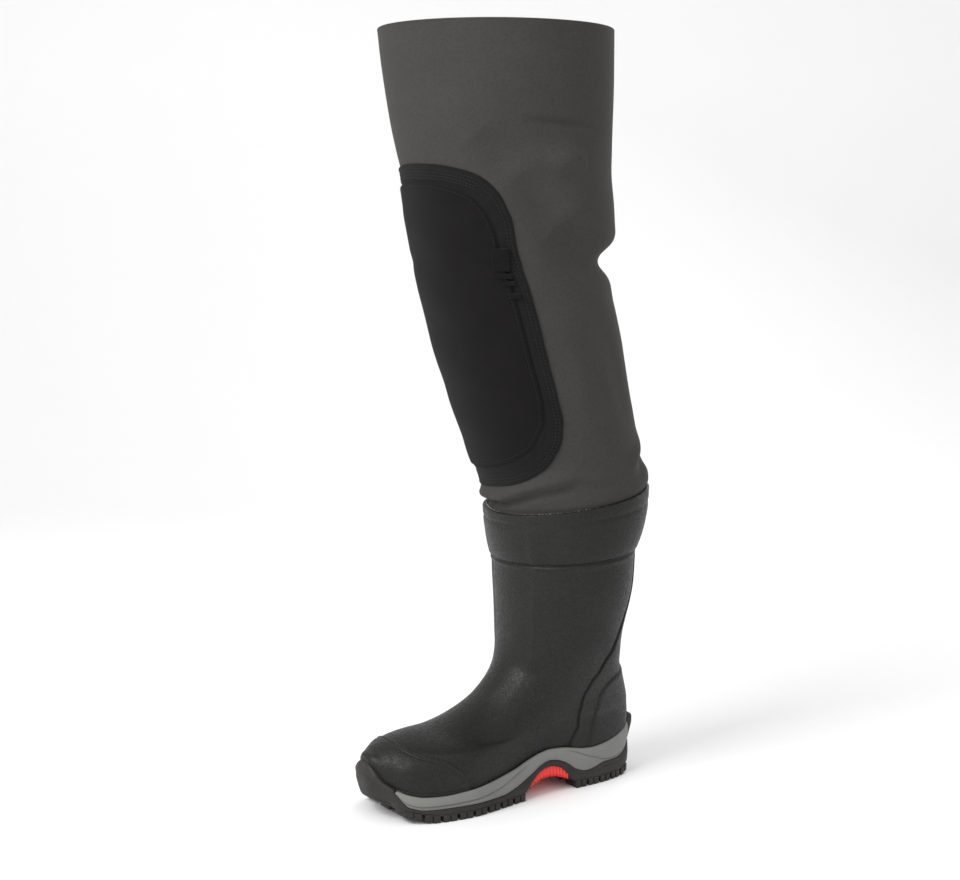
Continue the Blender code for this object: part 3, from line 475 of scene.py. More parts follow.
def boot_wall(u, turn):
    """Outer face of the rubber boot: ring u of the table, or the wall inside the cup below ring 0."""
    rows = {name: curve(RING_ROWS, name, np.maximum(u, 0.0), "at") for name in Ring._fields}
    along = 0.5 + 0.5 * reach(turn, rows["square"]) * np.cos(turn)
    spot = along + blend(rows["back"], -rows["front"], along)
    x = spot * SOLE_LENGTH - (edge_wall(along) + SEAT) * (2 * along - 1)
    foot = half_width(spot, turn) - edge_wall(spot) - SEAT
    half = blend(foot, rows["width"] * COLLAR_WIDTH, rows["shaft"])
    y = half * reach(turn, rows["square"]) * np.sin(turn)
    weight = np.sin(turn) ** 2 * (0.5 + 0.5 * np.cos(turn)) ** 2 / SAG_PEAK
    z = BOOT_HEIGHT * (blend(rows["back_up"], rows["front_up"], along) - rows["sag"] * weight)
    level = BOOT_HEIGHT * blend(RINGS[0].back_up, RINGS[0].front_up, along)
    z = z + (height("rim", spot) - level) * np.clip(1 - np.maximum(u, 0) / WAVE_FADE, 0, 1) ** 2
    z = np.where(u < 0, blend(height("rim", spot), height("bed", spot) + 2 * SEAT, -u), z)
    return joined(x - HEEL_SET, y, z)


def leg_wall(up, turn):
    """Outer face of the neoprene leg at a share of its height above the collar, without its folds."""
    rows = {name: curve(LEG, name, up, "up") for name in Leg._fields}
    swell = 0.0
    for hollow in HOLLOWS:
        off = np.remainder(np.degrees(turn) - hollow.turn + 180.0, 360.0) - 180.0
        away = ((up - hollow.up) / hollow.tall) ** 2 + (off / hollow.wide) ** 2
        swell = swell - hollow.deep * np.exp(-away)
    x = rows["middle"] * LEG_REACH + (rows["radius"] + swell) * KNEE_WIDTH * np.cos(turn)
    lean = LEG_LEAN * KNEE_WIDTH * (ease(-0.4, 1.3, 0.0) - ease(-0.4, 1.3, up))
    y = lean + (rows["side"] + swell) * KNEE_WIDTH * np.sin(turn)
    slope = (RINGS[-1].front_up - RINGS[-1].back_up) * BOOT_HEIGHT / 2
    z = blend(BOOT_HEIGHT, LEG_TOP, up) + rows["tilt"] * slope * np.cos(turn)
    return joined(x - HEEL_SET, y, z)


def lifted(surface, u, turn, out, span, step=0.02):
    """Points of a surface moved out along its normal by a distance or an array of them."""
    u, turn = np.broadcast_arrays(np.asarray(u, float), np.asarray(turn, float))
    across = surface(u, turn + 0.004) - surface(u, turn - 0.004)
    upward = surface(np.minimum(u + step, span[1]), turn) - surface(np.maximum(u - step, span[0]), turn)
    normal = np.cross(across, upward)
    normal /= np.maximum(np.linalg.norm(normal, axis=-1, keepdims=True), 1e-12)
    return surface(u, turn) + normal * np.asarray(out)[..., None]


def on_boot(u, turn, out):
    return lifted(boot_wall, u, turn, out + folded(BOOT_FOLDS, u, turn, BOOT_SCALE), (-1.0, COLLAR_RING))


def on_leg(up, turn, out):
    return lifted(leg_wall, up, turn, out + folded(LEG_FOLDS, up, turn, LEG_SCALE), (LEG[0].up, 1.0), 0.01)


def folded(folds, u, turn, scale):
    """Height of the folds at a place: soft troughs and ridges along short lines on the wall."""
    total = 0.0
    for fold in folds:
        middle = math.radians((fold.turn + fold.turn_end) / 2)
        around = (np.remainder(turn - middle + np.pi, 2 * np.pi) - np.pi) * scale.radius
        reached = math.radians(fold.turn_end - fold.turn) / 2 * scale.radius
        start, end = fold.up * scale.rise, fold.up_end * scale.rise
        length = (2 * reached) ** 2 + (end - start) ** 2 + 1e-9
        rise = u * scale.rise
        t = np.clip(((around + reached) * 2 * reached + (rise - start) * (end - start)) / length, 0, 1)
        off = np.hypot(around - blend(-reached, reached, t), rise - blend(start, end, t))
        kept = FOLD_END + (1 - FOLD_END) * np.sin(np.pi * t)
        total = total + fold.deep * np.exp(-(off / fold.wide) ** 2) * kept
    return total


def grid_mesh(name, rows, around=True, wrap=False):
    """A mesh from rows of points; around joins each row's ends, wrap joins the last row to the first."""
    count, width = rows.shape[:2]
    low = np.arange(count if wrap else count - 1)[:, None] * width
    high = (low + width) % (count * width)
    here = np.arange(width if around else width - 1)[None, :]
    there = (here + 1) % width
    faces = np.stack([low + here, low + there, high + there, high + here], axis=-1).reshape(-1, 4)
    mesh = bpy.data.meshes.new(name)
    mesh.from_pydata(rows.reshape(-1, 3).tolist(), [], faces.tolist())
    mesh.validate()
    return mesh


def shown(name, mesh, finish, *nodes, slot=None):
    """One visible piece that stands for CAD nodes and rides with the part."""
    mesh.shade_smooth()
    mesh.update()
    piece = bpy.data.objects.new(name, mesh)
    bpy.context.scene.collection.objects.link(piece)
    piece.data.materials.append(finish)
    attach(piece, "root")
    if nodes:
        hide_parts(*nodes)
    return piece


def merged(mesh, others):
    """Add other bmeshes' geometry to a mesh."""
    bm = bmesh.new()
    bm.from_mesh(mesh)
    for other in others:
        spare = bpy.data.meshes.new("spare")
        other.to_mesh(spare)
        other.free()
        bm.from_mesh(spare)
        bpy.data.meshes.remove(spare)
    bm.to_mesh(mesh)
    bm.free()
    return mesh


def settled(points, rim):
    """Distance of each point to the nearest point of a closed line."""
    fine = np.concatenate([blend(rim, np.roll(rim, -1, axis=0), t) for t in (0, 0.25, 0.5, 0.75)])
    tree = kdtree.KDTree(len(fine))
    for i, spot in enumerate(fine):
        tree.insert(spot, i)
    tree.balance()
    flat = points.reshape(-1, 3)
    return np.array([tree.find(spot)[2] for spot in flat]).reshape(points.shape[:-1])


def patch_lines(inside, centre, size, grid=OVERLAY_GRID):
    """Rays from a patch's middle to its edge, as arrays of (u, turn), closer together at the edge."""
    rays, rows = grid
    angle = circle(rays)
    du, da = np.sin(angle) * size[0], np.cos(angle) * size[1]
    near, far = np.zeros(rays), np.full(rays, 2.0)
    for _ in range(EDGE_SEARCHES):
        middle = (near + far) / 2
        good = inside(centre[0] + du * middle, centre[1] + da * middle)
        near, far = np.where(good, middle, near), np.where(good, far, middle)
    edge = near
    for _ in range(EDGE_SOFTENING):
        edge = (np.roll(edge, 1) + 2 * edge + np.roll(edge, -1)) / 4
    share = 1 - (1 - np.linspace(0.0, 1.0, rows)) ** ROW_CROWDING
    share[0] = 0.004
    return centre[0] + du * edge * share[:, None], centre[1] + da * edge * share[:, None]


def rounded(distance, radius):
    """Quarter-round profile from an edge: 0 at the edge, 1 a radius away from it."""
    t = np.clip(distance / radius, 0, 1)
    return np.sqrt(np.clip(1 - (1 - t) ** 2, 0, 1))


def groove(distance, place, wide):
    return np.exp(-((distance - place) / wide) ** 2)


def ridges(lines, at):
    """Height of a set of raised and sunk lines at a place."""
    return sum(high * groove(at, place, wide) for place, wide, high in lines)


def patch(surface, u, turn, low, thick, radius, sunk, relief=None):
    """A laid-on sheet with a rounded edge that goes down into the wall that carries it."""
    flat = surface(u, turn, low)
    distance = settled(flat, flat[-1])
    out = blend(-sunk, low + thick, rounded(distance, radius))
    if relief is not None:
        out = out + relief(distance, u, turn)
    return surface(u, turn, out), distance


def line_at(points, distance, wanted):
    """The closed line over a patch that keeps a distance from its edge."""
    found = []
    for column in range(points.shape[1]):
        row = max(1, int(np.argmin(distance[:, column] > wanted)))
        near, far = distance[row - 1, column], distance[row, column]
        t = np.clip((near - wanted) / max(near - far, 1e-9), 0, 1)
        found.append(blend(points[row - 1, column], points[row, column], t))
    return np.array(found)


def stitches(line, pitch, length, thick, centre, closed=True):
    """A row of short rounded threads along a line on a wall that stands round a middle line."""
    if closed:
        line = np.vstack([line, line[:1]])
    run = np.concatenate([[0], np.cumsum(np.linalg.norm(np.diff(line, axis=0), axis=1))])
    bm = bmesh.new()
    count = max(2, int(run[-1] / pitch))
    for i in range(count):
        ends = [[np.interp(spot, run, line[:, k]) for k in range(3)]
                for spot in ((i * run[-1] / count), (i * run[-1] / count) + length)]
        start, end = Vector(ends[0]), Vector(ends[1])
        lie = (end - start).normalized()
        out = (start - Vector((centre[0], centre[1], start.z))).normalized()
        side = lie.cross(out).normalized()
        out = side.cross(lie).normalized()
        place = Matrix((lie, side, out)).transposed().to_4x4()
        place.translation = (start + end) / 2 + out * thick * 0.15
        shape = place @ Matrix.Diagonal((length / 2, thick / 2, thick / 2, 1.0))
        bmesh.ops.create_icosphere(bm, subdivisions=1, radius=1.0, matrix=shape)
    return bm


def tube_rows(outer, inner, rim):
    """Rows of a hollow wall: up the outside, over a rounded rim, and down the inside."""
    top, below = outer[-1], inner[-1]
    middle, half = (top + below) / 2, (top - below) / 2
    lift = Vector((0, 0, rim))
    over = [middle + half * math.cos(a) + np.array(lift) * math.sin(a)
            for a in np.linspace(0, math.pi, 9)[1:-1]]
    return np.concatenate([outer, np.array(over), inner[::-1]])


def build_leg(finish):
    turn = circle(COLUMNS)[None, :]
    laps = np.linspace(LAP_START, LAP_END, 10)[:, None]
    up = np.concatenate([np.linspace(LEG[0].up, 0.12, 80), np.linspace(0.122, 1.0, 230)])[:, None]
    depth = BOOT_WALL + GAP
    outer = np.concatenate([on_boot(laps, turn, -depth), on_leg(up, turn, 0.0 * up)])
    lining = up[1::LINING_STEP]
    inner = np.concatenate([on_boot(laps, turn, -depth - LEG_WALL),
                            on_leg(lining, turn, -LEG_WALL + 0.0 * lining)])
    outer[-1, :, 2] = inner[-1, :, 2] = LEG_TOP - RIM_ROUND
    outer[:, :, 2] = np.minimum(outer[:, :, 2], LEG_TOP - RIM_ROUND)
    inner[:, :, 2] = np.minimum(inner[:, :, 2], LEG_TOP - RIM_ROUND)
    mesh = grid_mesh("wader_leg", tube_rows(outer, inner, RIM_ROUND), wrap=True)
    return shown("wader_leg", mesh, finish, "leg", slot="leg_neoprene")


def edge_distance(table, centre, u, turn):
    """How far outside a moulded edge a place on the boot lies, in metres."""
    off = np.abs(np.remainder(turn - centre + np.pi, 2 * np.pi) - np.pi) - reach_at(table, u)
    slope = (reach_at(table, u + 0.1) - reach_at(table, u - 0.1)) / 0.2
    return off / np.hypot(1 / BOOT_SCALE.radius, slope / BOOT_SCALE.rise)


def moulded_seam(table, centre, u, turn):
    """Weight of the sunk line along a moulded edge."""
    faded = 1 - ease(table[-1].ring - 0.3, table[-1].ring, u)
    return faded * groove(edge_distance(table, centre, u, turn), SEAM_OUT, SEAM_WIDE)


def build_boot(finish):
    """The rubber boot: shaft, vamp, the thicker band under the collar and the seam lines in them."""
    turn = circle(BOOT_COLUMNS)[None, :]
    u = np.concatenate([np.linspace(-1, -0.1, 4), np.linspace(0, 19.4, 150),
                        np.linspace(*BAND_RINGS, 36), np.linspace(21.2, COLLAR_RING, 40)])[:, None]
    relief = (ridges(BAND_LINES, u)
              - SEAM_DEEP * moulded_seam(STAY, math.pi, u, turn)
              - CAP_SEAM * SEAM_DEEP * moulded_seam(CAP, 0.0, u, turn)
              - VAMP_SEAM * SEAM_DEEP * moulded_seam(VAMP_EDGE, 0.0, u, turn) * ease(*VAMP_FADE, u))
    outer = on_boot(u, turn, relief)
    inner_u = np.concatenate([[-1.0], np.linspace(0, COLLAR_RING, LINING_ROWS)])[:, None]
    inner = on_boot(inner_u, turn, -BOOT_WALL + 0.0 * inner_u)
    inner[0, :, 2] = outer[0, :, 2]
    mesh = grid_mesh("rubber_boot", tube_rows(outer, inner, 0.0009), wrap=True)
    return shown("rubber_boot", mesh, finish, "upper", slot="boot_rubber")


def build_glue_line(finish):
    """Thin ragged line of dried glue where the leg comes out of the collar."""
    turn = circle(GLUE_COLUMNS)[None, :]
    ragged = np.sin(turn * 37) * np.sin(turn * 91 + 1.3) + 0.6 * np.sin(turn * 143 + 0.4)
    degrees = np.degrees(turn)
    patchy = ridges(GLUE_PATCHES, degrees)
    thick = np.clip(GLUE_THICK * (ragged + 0.4) * patchy, 0.00002, GLUE_THICK)
    around = circle(7)[:, None]
    ring = np.full((7, 1), COLLAR_RING - 0.02)
    line = on_boot(ring, turn + 0.0 * around, -BOOT_WALL + thick * np.cos(around))
    line[:, :, 2] += 0.0007 + thick * np.sin(around) * 1.6
    mesh = grid_mesh("collar_glue_line", line, wrap=True)
    return shown("collar_glue_line", mesh, finish, slot="boot_rubber")


def reach_at(table, u):
    return np.radians(curve(table, "turn", u, "ring"))


def overlay(name, table, centre, low, thick, finish, node, relief=None, edge=OVERLAY_ROUND):
    """A moulded overlay of the boot, even about the toe or the heel."""
    first, last = OVERLAY_FOOT, table[-1].ring

    def inside(u, turn):
        return (u > first) & (u < last) & (np.abs(turn - centre) < reach_at(table, u))

    middle = (blend(first, last, 0.42), centre)
    u, turn = patch_lines(inside, middle, ((last - first) / 2, reach_at(table, middle[0])))
    points, _ = patch(on_boot, u, turn, low, thick, edge, OVERLAY_SUNK, relief)
    mesh = grid_mesh(name, points)
    return shown(name, mesh, finish, node, slot="boot_rubber")


def build_overlays(finish):
    overlay("toe_cap_overlay", CAP, 0.0, 0.0, CAP_THICK, finish, "toe_cap",
            lambda distance, u, turn: ridges(CAP_LINES, distance))
    overlay("back_stay_overlay", STAY, math.pi, 0.0, STAY_THICK, finish, "back_stay")
    overlay("heel_counter_overlay", COUNTER, math.pi, STAY_THICK, COUNTER_THICK + SEAT, finish,
            "heel_counter", edge=COUNTER_ROUND)


def pad_inside(up, turn, drawn):
    """Whether a place is on the knee pad, drawn in from its edge by an angle."""
    border = PAD_BORDER / (KNEE_WIDTH / 2)
    inset = drawn / border * PAD_BORDER / (LEG_TOP - BOOT_HEIGHT)
    degrees = np.degrees(turn) * PAD[1].outer / (PAD[1].outer - math.degrees(drawn))
    return ((turn > np.radians(curve(PAD, "inner", up, "up")) + drawn)
            & (turn < np.radians(curve(PAD, "outer", up, "up")) - drawn)
            & (up > curve(ENDS, "low", degrees, "turn") + inset)
            & (up < curve(ENDS, "high", degrees, "turn") - inset))


def over_top(line):
    """The stretch of a closed line that runs over the pad's top border, from side to side."""
    high = line[:, 2] > line[:, 2].max() - TOP_STITCHES
    first = int(np.argmax(high & ~np.roll(high, 1)))
    return np.roll(line, -first, axis=0)[:int(high.sum())]


def sewn(name, closed, open_lines, thick, pitch, points, thread, slot):
    """Rows of stitches over a panel, from its closed lines and its open ones."""
    centre = points[0].mean(axis=0) - np.array((STITCH_AXIS, 0, 0))
    made = [stitches(line, pitch, pitch * STITCH_SHARE, thick, centre, i < len(closed))
            for i, line in enumerate(closed + open_lines)]
    shown(name, merged(bpy.data.meshes.new(name), made), thread, slot=slot)


def build_knee_pad(pitch, finish, thread):
    u, turn = patch_lines(lambda up, turn: pad_inside(up, turn, 0.0), PAD_MIDDLE, PAD_REACH, PAD_GRID)
    points, distance = patch(on_leg, u, turn, GAP, PAD_THICK, PAD_ROUND, PAD_SUNK,
                             lambda distance, u, turn: ridges(PAD_LINES, distance))
    closed = [line_at(points, distance, line[0]) for line in PAD_LINES[:2]]
    top = [over_top(line_at(points, distance, place)) for place in TOP_STITCH_LINES]
    mesh = grid_mesh("knee_pad_panel", points)
    piece = shown("knee_pad_panel", mesh, finish, "knee_pad", slot="pad_fabric")
    sewn("knee_pad_stitches", closed, top, 0.0007, pitch, points, thread, "pad_fabric")


def build_knee_pocket(pitch, finish, thread):
    """The raised inner panel, with soft ripples across it."""
    border = PAD_BORDER / (KNEE_WIDTH / 2)
    u, turn = patch_lines(lambda up, turn: pad_inside(up, turn, border), PAD_MIDDLE, PAD_REACH, POCKET_GRID)

    def relief(distance, u, turn):
        ripples = 0.0006 * np.sin(u * 46 + np.sin(turn * 3.1) * 1.3)
        return ridges(POCKET_LINES, distance) + ripples * ease(0.01, 0.03, distance)

    points, distance = patch(on_leg, u, turn, PAD_THICK + GAP, POCKET_THICK, POCKET_ROUND,
                             PAD_SUNK - PAD_THICK, relief)
    mesh = grid_mesh("knee_pocket_panel", points)
    panel = shown("knee_pocket_panel", mesh, finish, "knee_pocket", slot="pocket_fabric")
    closed = [line_at(points, distance, line[0]) for line in POCKET_LINES]
    sewn("knee_pocket_stitches", closed, [], 0.0006, pitch, points, thread, "pocket_fabric")


def build_pocket_closure(finish):
    """Tab and hook bars that hold the pocket shut at its outer side."""
    made = []
    for low, high, start, end in CLOSURE:
        middle = ((low + high) / 2, math.radians((start + end) / 2))
        half = ((high - low) / 2, math.radians(end - start) / 2)

        def inside(up, turn):
            return (np.abs(up - middle[0]) < half[0]) & (np.abs(turn - middle[1]) < half[1])

        up, turn = patch_lines(inside, middle, half, TAB_GRID)
        points, _ = patch(on_leg, up, turn, PAD_THICK + POCKET_THICK + GAP, TAB_THICK, TAB_ROUND, -PAD_THICK)
        bm = bmesh.new()
        bm.from_mesh(grid_mesh("closure_part", points))
        made.append(bm)
    mesh = merged(bpy.data.meshes.new("pocket_closure"), made)
    return shown("pocket_closure", mesh, finish, slot="pad_fabric")


def closed_across(rows):
    """Add the middle line of the sole to both ends of a profile's rows, so that the loft is closed."""
    ends = []
    for row in (rows[0], rows[-1]):
        middle = row.copy()
        middle[:, 1] = 0.0
        ends.append(middle)
    return np.concatenate([ends[0][None], rows, ends[1][None]])


def sole_profile(turn, steps):
    """Rows of a loft round the sole from (inset, height) pairs, each an array over the angles."""
    rows = []
    for inset, high in steps:
        x, y = outline(turn, inset)
        rows.append(joined(x - HEEL_SET, y, high + 0.0 * x))
    return np.array(rows)


# Lines moulded in the foam's side, as shares of its height from the top
Line = namedtuple("Line", "along share")
FORE_LINE = table_of(Line, (0.0, 0.1), (0.45, 0.12), (0.53, 0.25), (0.61, 0.53), (0.70, 0.68), (0.80, 0.73),
    (1.0, 0.76))
HEEL_LINE = table_of(Line, (0.0, 0.95), (0.13, 0.95), (0.16, 0.86), (0.19, 0.54), (0.23, 0.31), (0.29, 0.14),
    (1.0, 0.1))

FORE_WIDE = 0.022
HEEL_WIDE = 0.024
SECOND_WIDE = 0.020      # of the fine line under the fore one
SECOND_DEEP = 0.6
SECOND_BELOW = 0.09
SOLE_ROUND = 0.0012      # of the rims of the cup and of the black side wall
FOAM_ROWS = 60
BAND_ROWS = 24


def build_midsole(line_depth, finish):
    """The foam cup: a wavy side wall with a rounded rim and fine moulded lines."""
    turn = circle(SOLE_COLUMNS)
    along = outline(turn)[0] / SOLE_LENGTH
    side = 1 - ease(NOSE - 0.002, NOSE, along)
    wall = edge_wall(along)
    bed, rim = height("bed", along), height("rim", along)
    under = np.minimum(height("wall", along) + GAP, rim - 0.002)
    floor = height("shelf", along) + GAP
    rim, under = blend(bed, rim, side), blend(bed, under, side)
    outer = blend(wall + GAP, 0.0, side)
    steps = [(wall, bed), (wall, rim - SOLE_ROUND)]
    steps += [(wall - (wall - outer) * 0.5 * (1 - np.cos(a)), rim - SOLE_ROUND * (1 - np.sin(a)))
              for a in np.linspace(0.2, np.pi - 0.2, 7)]
    fore, heel = curve(FORE_LINE, "share", along, "along"), curve(HEEL_LINE, "share", along, "along")
    fore_on, heel_on = ease(0.45, 0.52, along), 1 - ease(0.27, 0.33, along)
    for share in np.linspace(0.0, 1.0, FOAM_ROWS):
        high = blend(rim - SOLE_ROUND, under + 0.0008, share)
        swell = 0.0009 * np.sin(np.pi * share) - 0.0008 * share
        cut = line_depth * (groove(share, fore, FORE_WIDE) * fore_on
                            + SECOND_DEEP * groove(share, fore + SECOND_BELOW, SECOND_WIDE) * fore_on
                            + groove(share, heel, HEEL_WIDE) * heel_on)
        steps.append((outer + side * (cut - swell), high))
    steps += [(outer + 0.0009 * side, under), (wall + GAP, under), (wall + GAP, floor)]
    rows = closed_across(sole_profile(turn, steps))
    return shown("foam_cup_sole", grid_mesh("foam_cup_sole", rows), finish, "midsole", slot="midsole_foam")


def tread_block(x_from, x_to, y_from, y_to, up=0.0):
    """A tread block with broken edges, from where it stands to inside the slab."""
    foot = min(height("tread", x_from / SOLE_LENGTH), height("tread", x_to / SOLE_LENGTH)) + up
    top = min(height("slab", x_from / SOLE_LENGTH), height("slab", x_to / SOLE_LENGTH)) + LUG_ROOT * SOLE_RISE
    bm = bmesh.new()
    corners = [bm.verts.new((x - HEEL_SET, y, z)) for z in (foot, top) for x, y in
               ((x_from, y_from(x_from)), (x_to, y_from(x_to)), (x_to, y_to(x_to)), (x_from, y_to(x_from)))]
    bm.faces.new(corners[3::-1])
    bm.faces.new(corners[4:])
    for i in range(4):
        j = (i + 1) % 4
        bm.faces.new((corners[i], corners[j], corners[4 + j], corners[4 + i]))
    bmesh.ops.recalc_face_normals(bm, faces=bm.faces)
    bmesh.ops.bevel(bm, geom=bm.edges[:], offset=LUG_ROUND, segments=2, profile=0.5, affect="EDGES")
    return bm


def side_of(x, outer, inset):
    share = min(abs(2 * x / SOLE_LENGTH - 1), 0.995)
    cap = (1 - share**SQUARENESS) ** (1 / SQUARENESS)
    return outer * (float(half_width(x / SOLE_LENGTH, outer * math.pi / 2)) * cap - inset)


def tread_blocks():
    """Side blocks, each in two halves with a shallow slot between them, and the middle ones."""
    blocks = []
    side, middle = LUG_REACH * BALL_WIDTH / 2, MID_REACH * BALL_WIDTH / 2
    for group in TREADS:
        pitch = (group.last - group.first) * SOLE_LENGTH / group.count
        for i in range(group.count):
            start = group.first * SOLE_LENGTH + i * pitch
            end = start + pitch * LUG_FILL
            slot = (start + end) / 2
            for outer in (1, -1):
                edges = (lambda x, s=outer: side_of(x, s, toe_draft(x / SOLE_LENGTH, 0.0) - LUG_PROUD),
                         lambda x, s=outer: s * max(s * side_of(x, s, side), middle + LUG_SLOT))
                back = (lambda x, s=outer: side_of(x, s, toe_draft(x / SOLE_LENGTH, 0.0) + 0.0004), edges[1])
                blocks.append(tread_block(start, slot - NOTCH / 2, *edges))
                blocks.append(tread_block(slot + NOTCH / 2, end, *edges))
                blocks.append(tread_block(slot - NOTCH, slot + NOTCH, *back, up=NOTCH_DEEP))
            trim = pitch * MID_TRIM
            blocks.append(tread_block(start + trim, end - trim, lambda x: middle, lambda x: -middle))
    return blocks


def toe_draft(along, high):
    """How far the bumper's face leans in at a height, in front only."""
    return ease(*TOE_CHANGE, along) * np.interp(high, DRAFT_HEIGHTS, DRAFT_INSETS)


def build_outsole(finish):
    """The black sole: slab, side band, toe bumper and tread blocks with broken edges."""
    turn = circle(SOLE_COLUMNS)
    along = outline(turn)[0] / SOLE_LENGTH
    wall = edge_wall(along)
    slab, top = height("slab", along), height("wall", along)
    shelf = np.minimum(height("shelf", along), top)
    steps = [(FLARE + toe_draft(along, slab), slab)]
    steps += [(FLARE * (1 - np.sin(a)) + toe_draft(along, slab + FLARE * (1 - np.cos(a))),
               slab + FLARE * (1 - np.cos(a))) for a in np.linspace(0.2, np.pi / 2, 5)]
    tall = ease(0.006, 0.014, top - slab)
    for share in np.linspace(0.0, 1.0, BAND_ROWS):
        high = blend(slab + FLARE, top - SOLE_ROUND, share)
        cut = tall * ridges(SOLE_LINES, share)
        steps.append((cut - 0.0004 * np.sin(np.pi * share) + toe_draft(along, high), high))
    steps += [(SOLE_ROUND * (1 - np.cos(a)) + toe_draft(along, top), top - SOLE_ROUND * (1 - np.sin(a)))
              for a in np.linspace(0.2, np.pi / 2, 5)]
    steps += [(wall - 0.0006, top), (wall, top - 0.0006), (wall, shelf)]
    mesh = grid_mesh("outsole_rubber", closed_across(sole_profile(turn, steps)))
    return shown("outsole_rubber", merged(mesh, tread_blocks()), finish, "outsole", slot="sole_rubber")


def build_arch_insert(finish):
    """The red insert: a crescent across the sole with a toothed lower edge."""
    rows = []
    for share in np.arange(TOOTH_POINTS * TEETH + 1) / (TOOTH_POINTS * TEETH):
        along = blend(*INSERT_SPAN, share)
        x = along * SOLE_LENGTH
        top = float(height("slab", along)) - GAP
        wave = 0.5 - 0.5 * math.cos(2 * math.pi * share * TEETH)
        bottom = SOLE_RISE * (INSERT_UNDER[0] + INSERT_UNDER[1] * math.sin(math.pi * share))
        bottom = min(bottom + TOOTH_DEPTH * wave ** 0.7, top - INSERT_LEAST)
        row = []
        for s in (-1, 1):
            upper, bend, foot = [side_of(x, s, inset + RIB_DEEP * wave) for inset in INSERT_INSETS]
            ring = [(upper, top), (upper, blend(top, bottom, 0.8)), (bend, blend(top, bottom, 0.97)),
                    (foot, bottom)]
            row.append([(x - HEEL_SET, y, z) for y, z in ring])
        rows.append(row[1] + row[0][::-1])
    mesh = grid_mesh("arch_insert_rib", np.array(rows))
    bm = bmesh.new()
    bm.from_mesh(mesh)
    bmesh.ops.holes_fill(bm, edges=[edge for edge in bm.edges if edge.is_boundary], sides=0)
    bmesh.ops.recalc_face_normals(bm, faces=bm.faces)
    bm.to_mesh(mesh)
    bm.free()
    return shown("arch_insert_rib", mesh, finish, "arch_insert", slot="insert_rubber")


def build_insole(finish):
    turn = circle(INSOLE_COLUMNS)
    along = outline(turn)[0] / SOLE_LENGTH
    inset = edge_wall(along) + GAP + BOOT_WALL + INSOLE_CLEAR
    seat = height("bed", along) + SEAT
    steps = [(inset, seat), (inset, seat + INSOLE_THICK * 0.7), (inset + 0.0008, seat + INSOLE_THICK * 0.95),
             (inset + 0.002, seat + INSOLE_THICK)]
    mesh = grid_mesh("footbed", closed_across(sole_profile(turn, steps)))
    return shown("footbed", mesh, finish, "insole", slot="insole_fabric")


def build_kick_spur(finish):
    """The ledge behind the heel, rounded in its profile and tapered at its ends."""
    half = math.asin(SPUR_WIDTH / HEEL_WIDTH) * SPUR_SPREAD
    across = np.linspace(-1, 1, 61)
    turn = np.pi + half * across
    rows = []
    for z, out in SPUR_SHAPE:
        taper = np.clip(1 - np.abs(across) ** 7, 0.06, 1)
        near = outline(turn, -GAP * 1.5)
        far = outline(turn, -GAP * 1.5 - SPUR_DEPTH * out * taper)
        rows.append(joined(far[0] - HEEL_SET, far[1], z * SOLE_RISE + 0.0 * turn))
    low, high = SPUR_SHAPE[0][0], SPUR_SHAPE[-1][0]
    backs = [joined(near[0] - HEEL_SET, near[1], z * SOLE_RISE + 0.0 * turn) for z in (high, low)]
    mesh = grid_mesh("heel_kick_spur", np.array(rows + backs), around=False, wrap=True)
    return shown("heel_kick_spur", mesh, finish, "kick_spur", slot="sole_rubber")


def linear(colour):
    """Scene-linear value of a colour as it is seen."""
    return tuple(c / 12.92 if c <= 0.04045 else ((c + 0.055) / 1.055) ** 2.4 for c in colour)


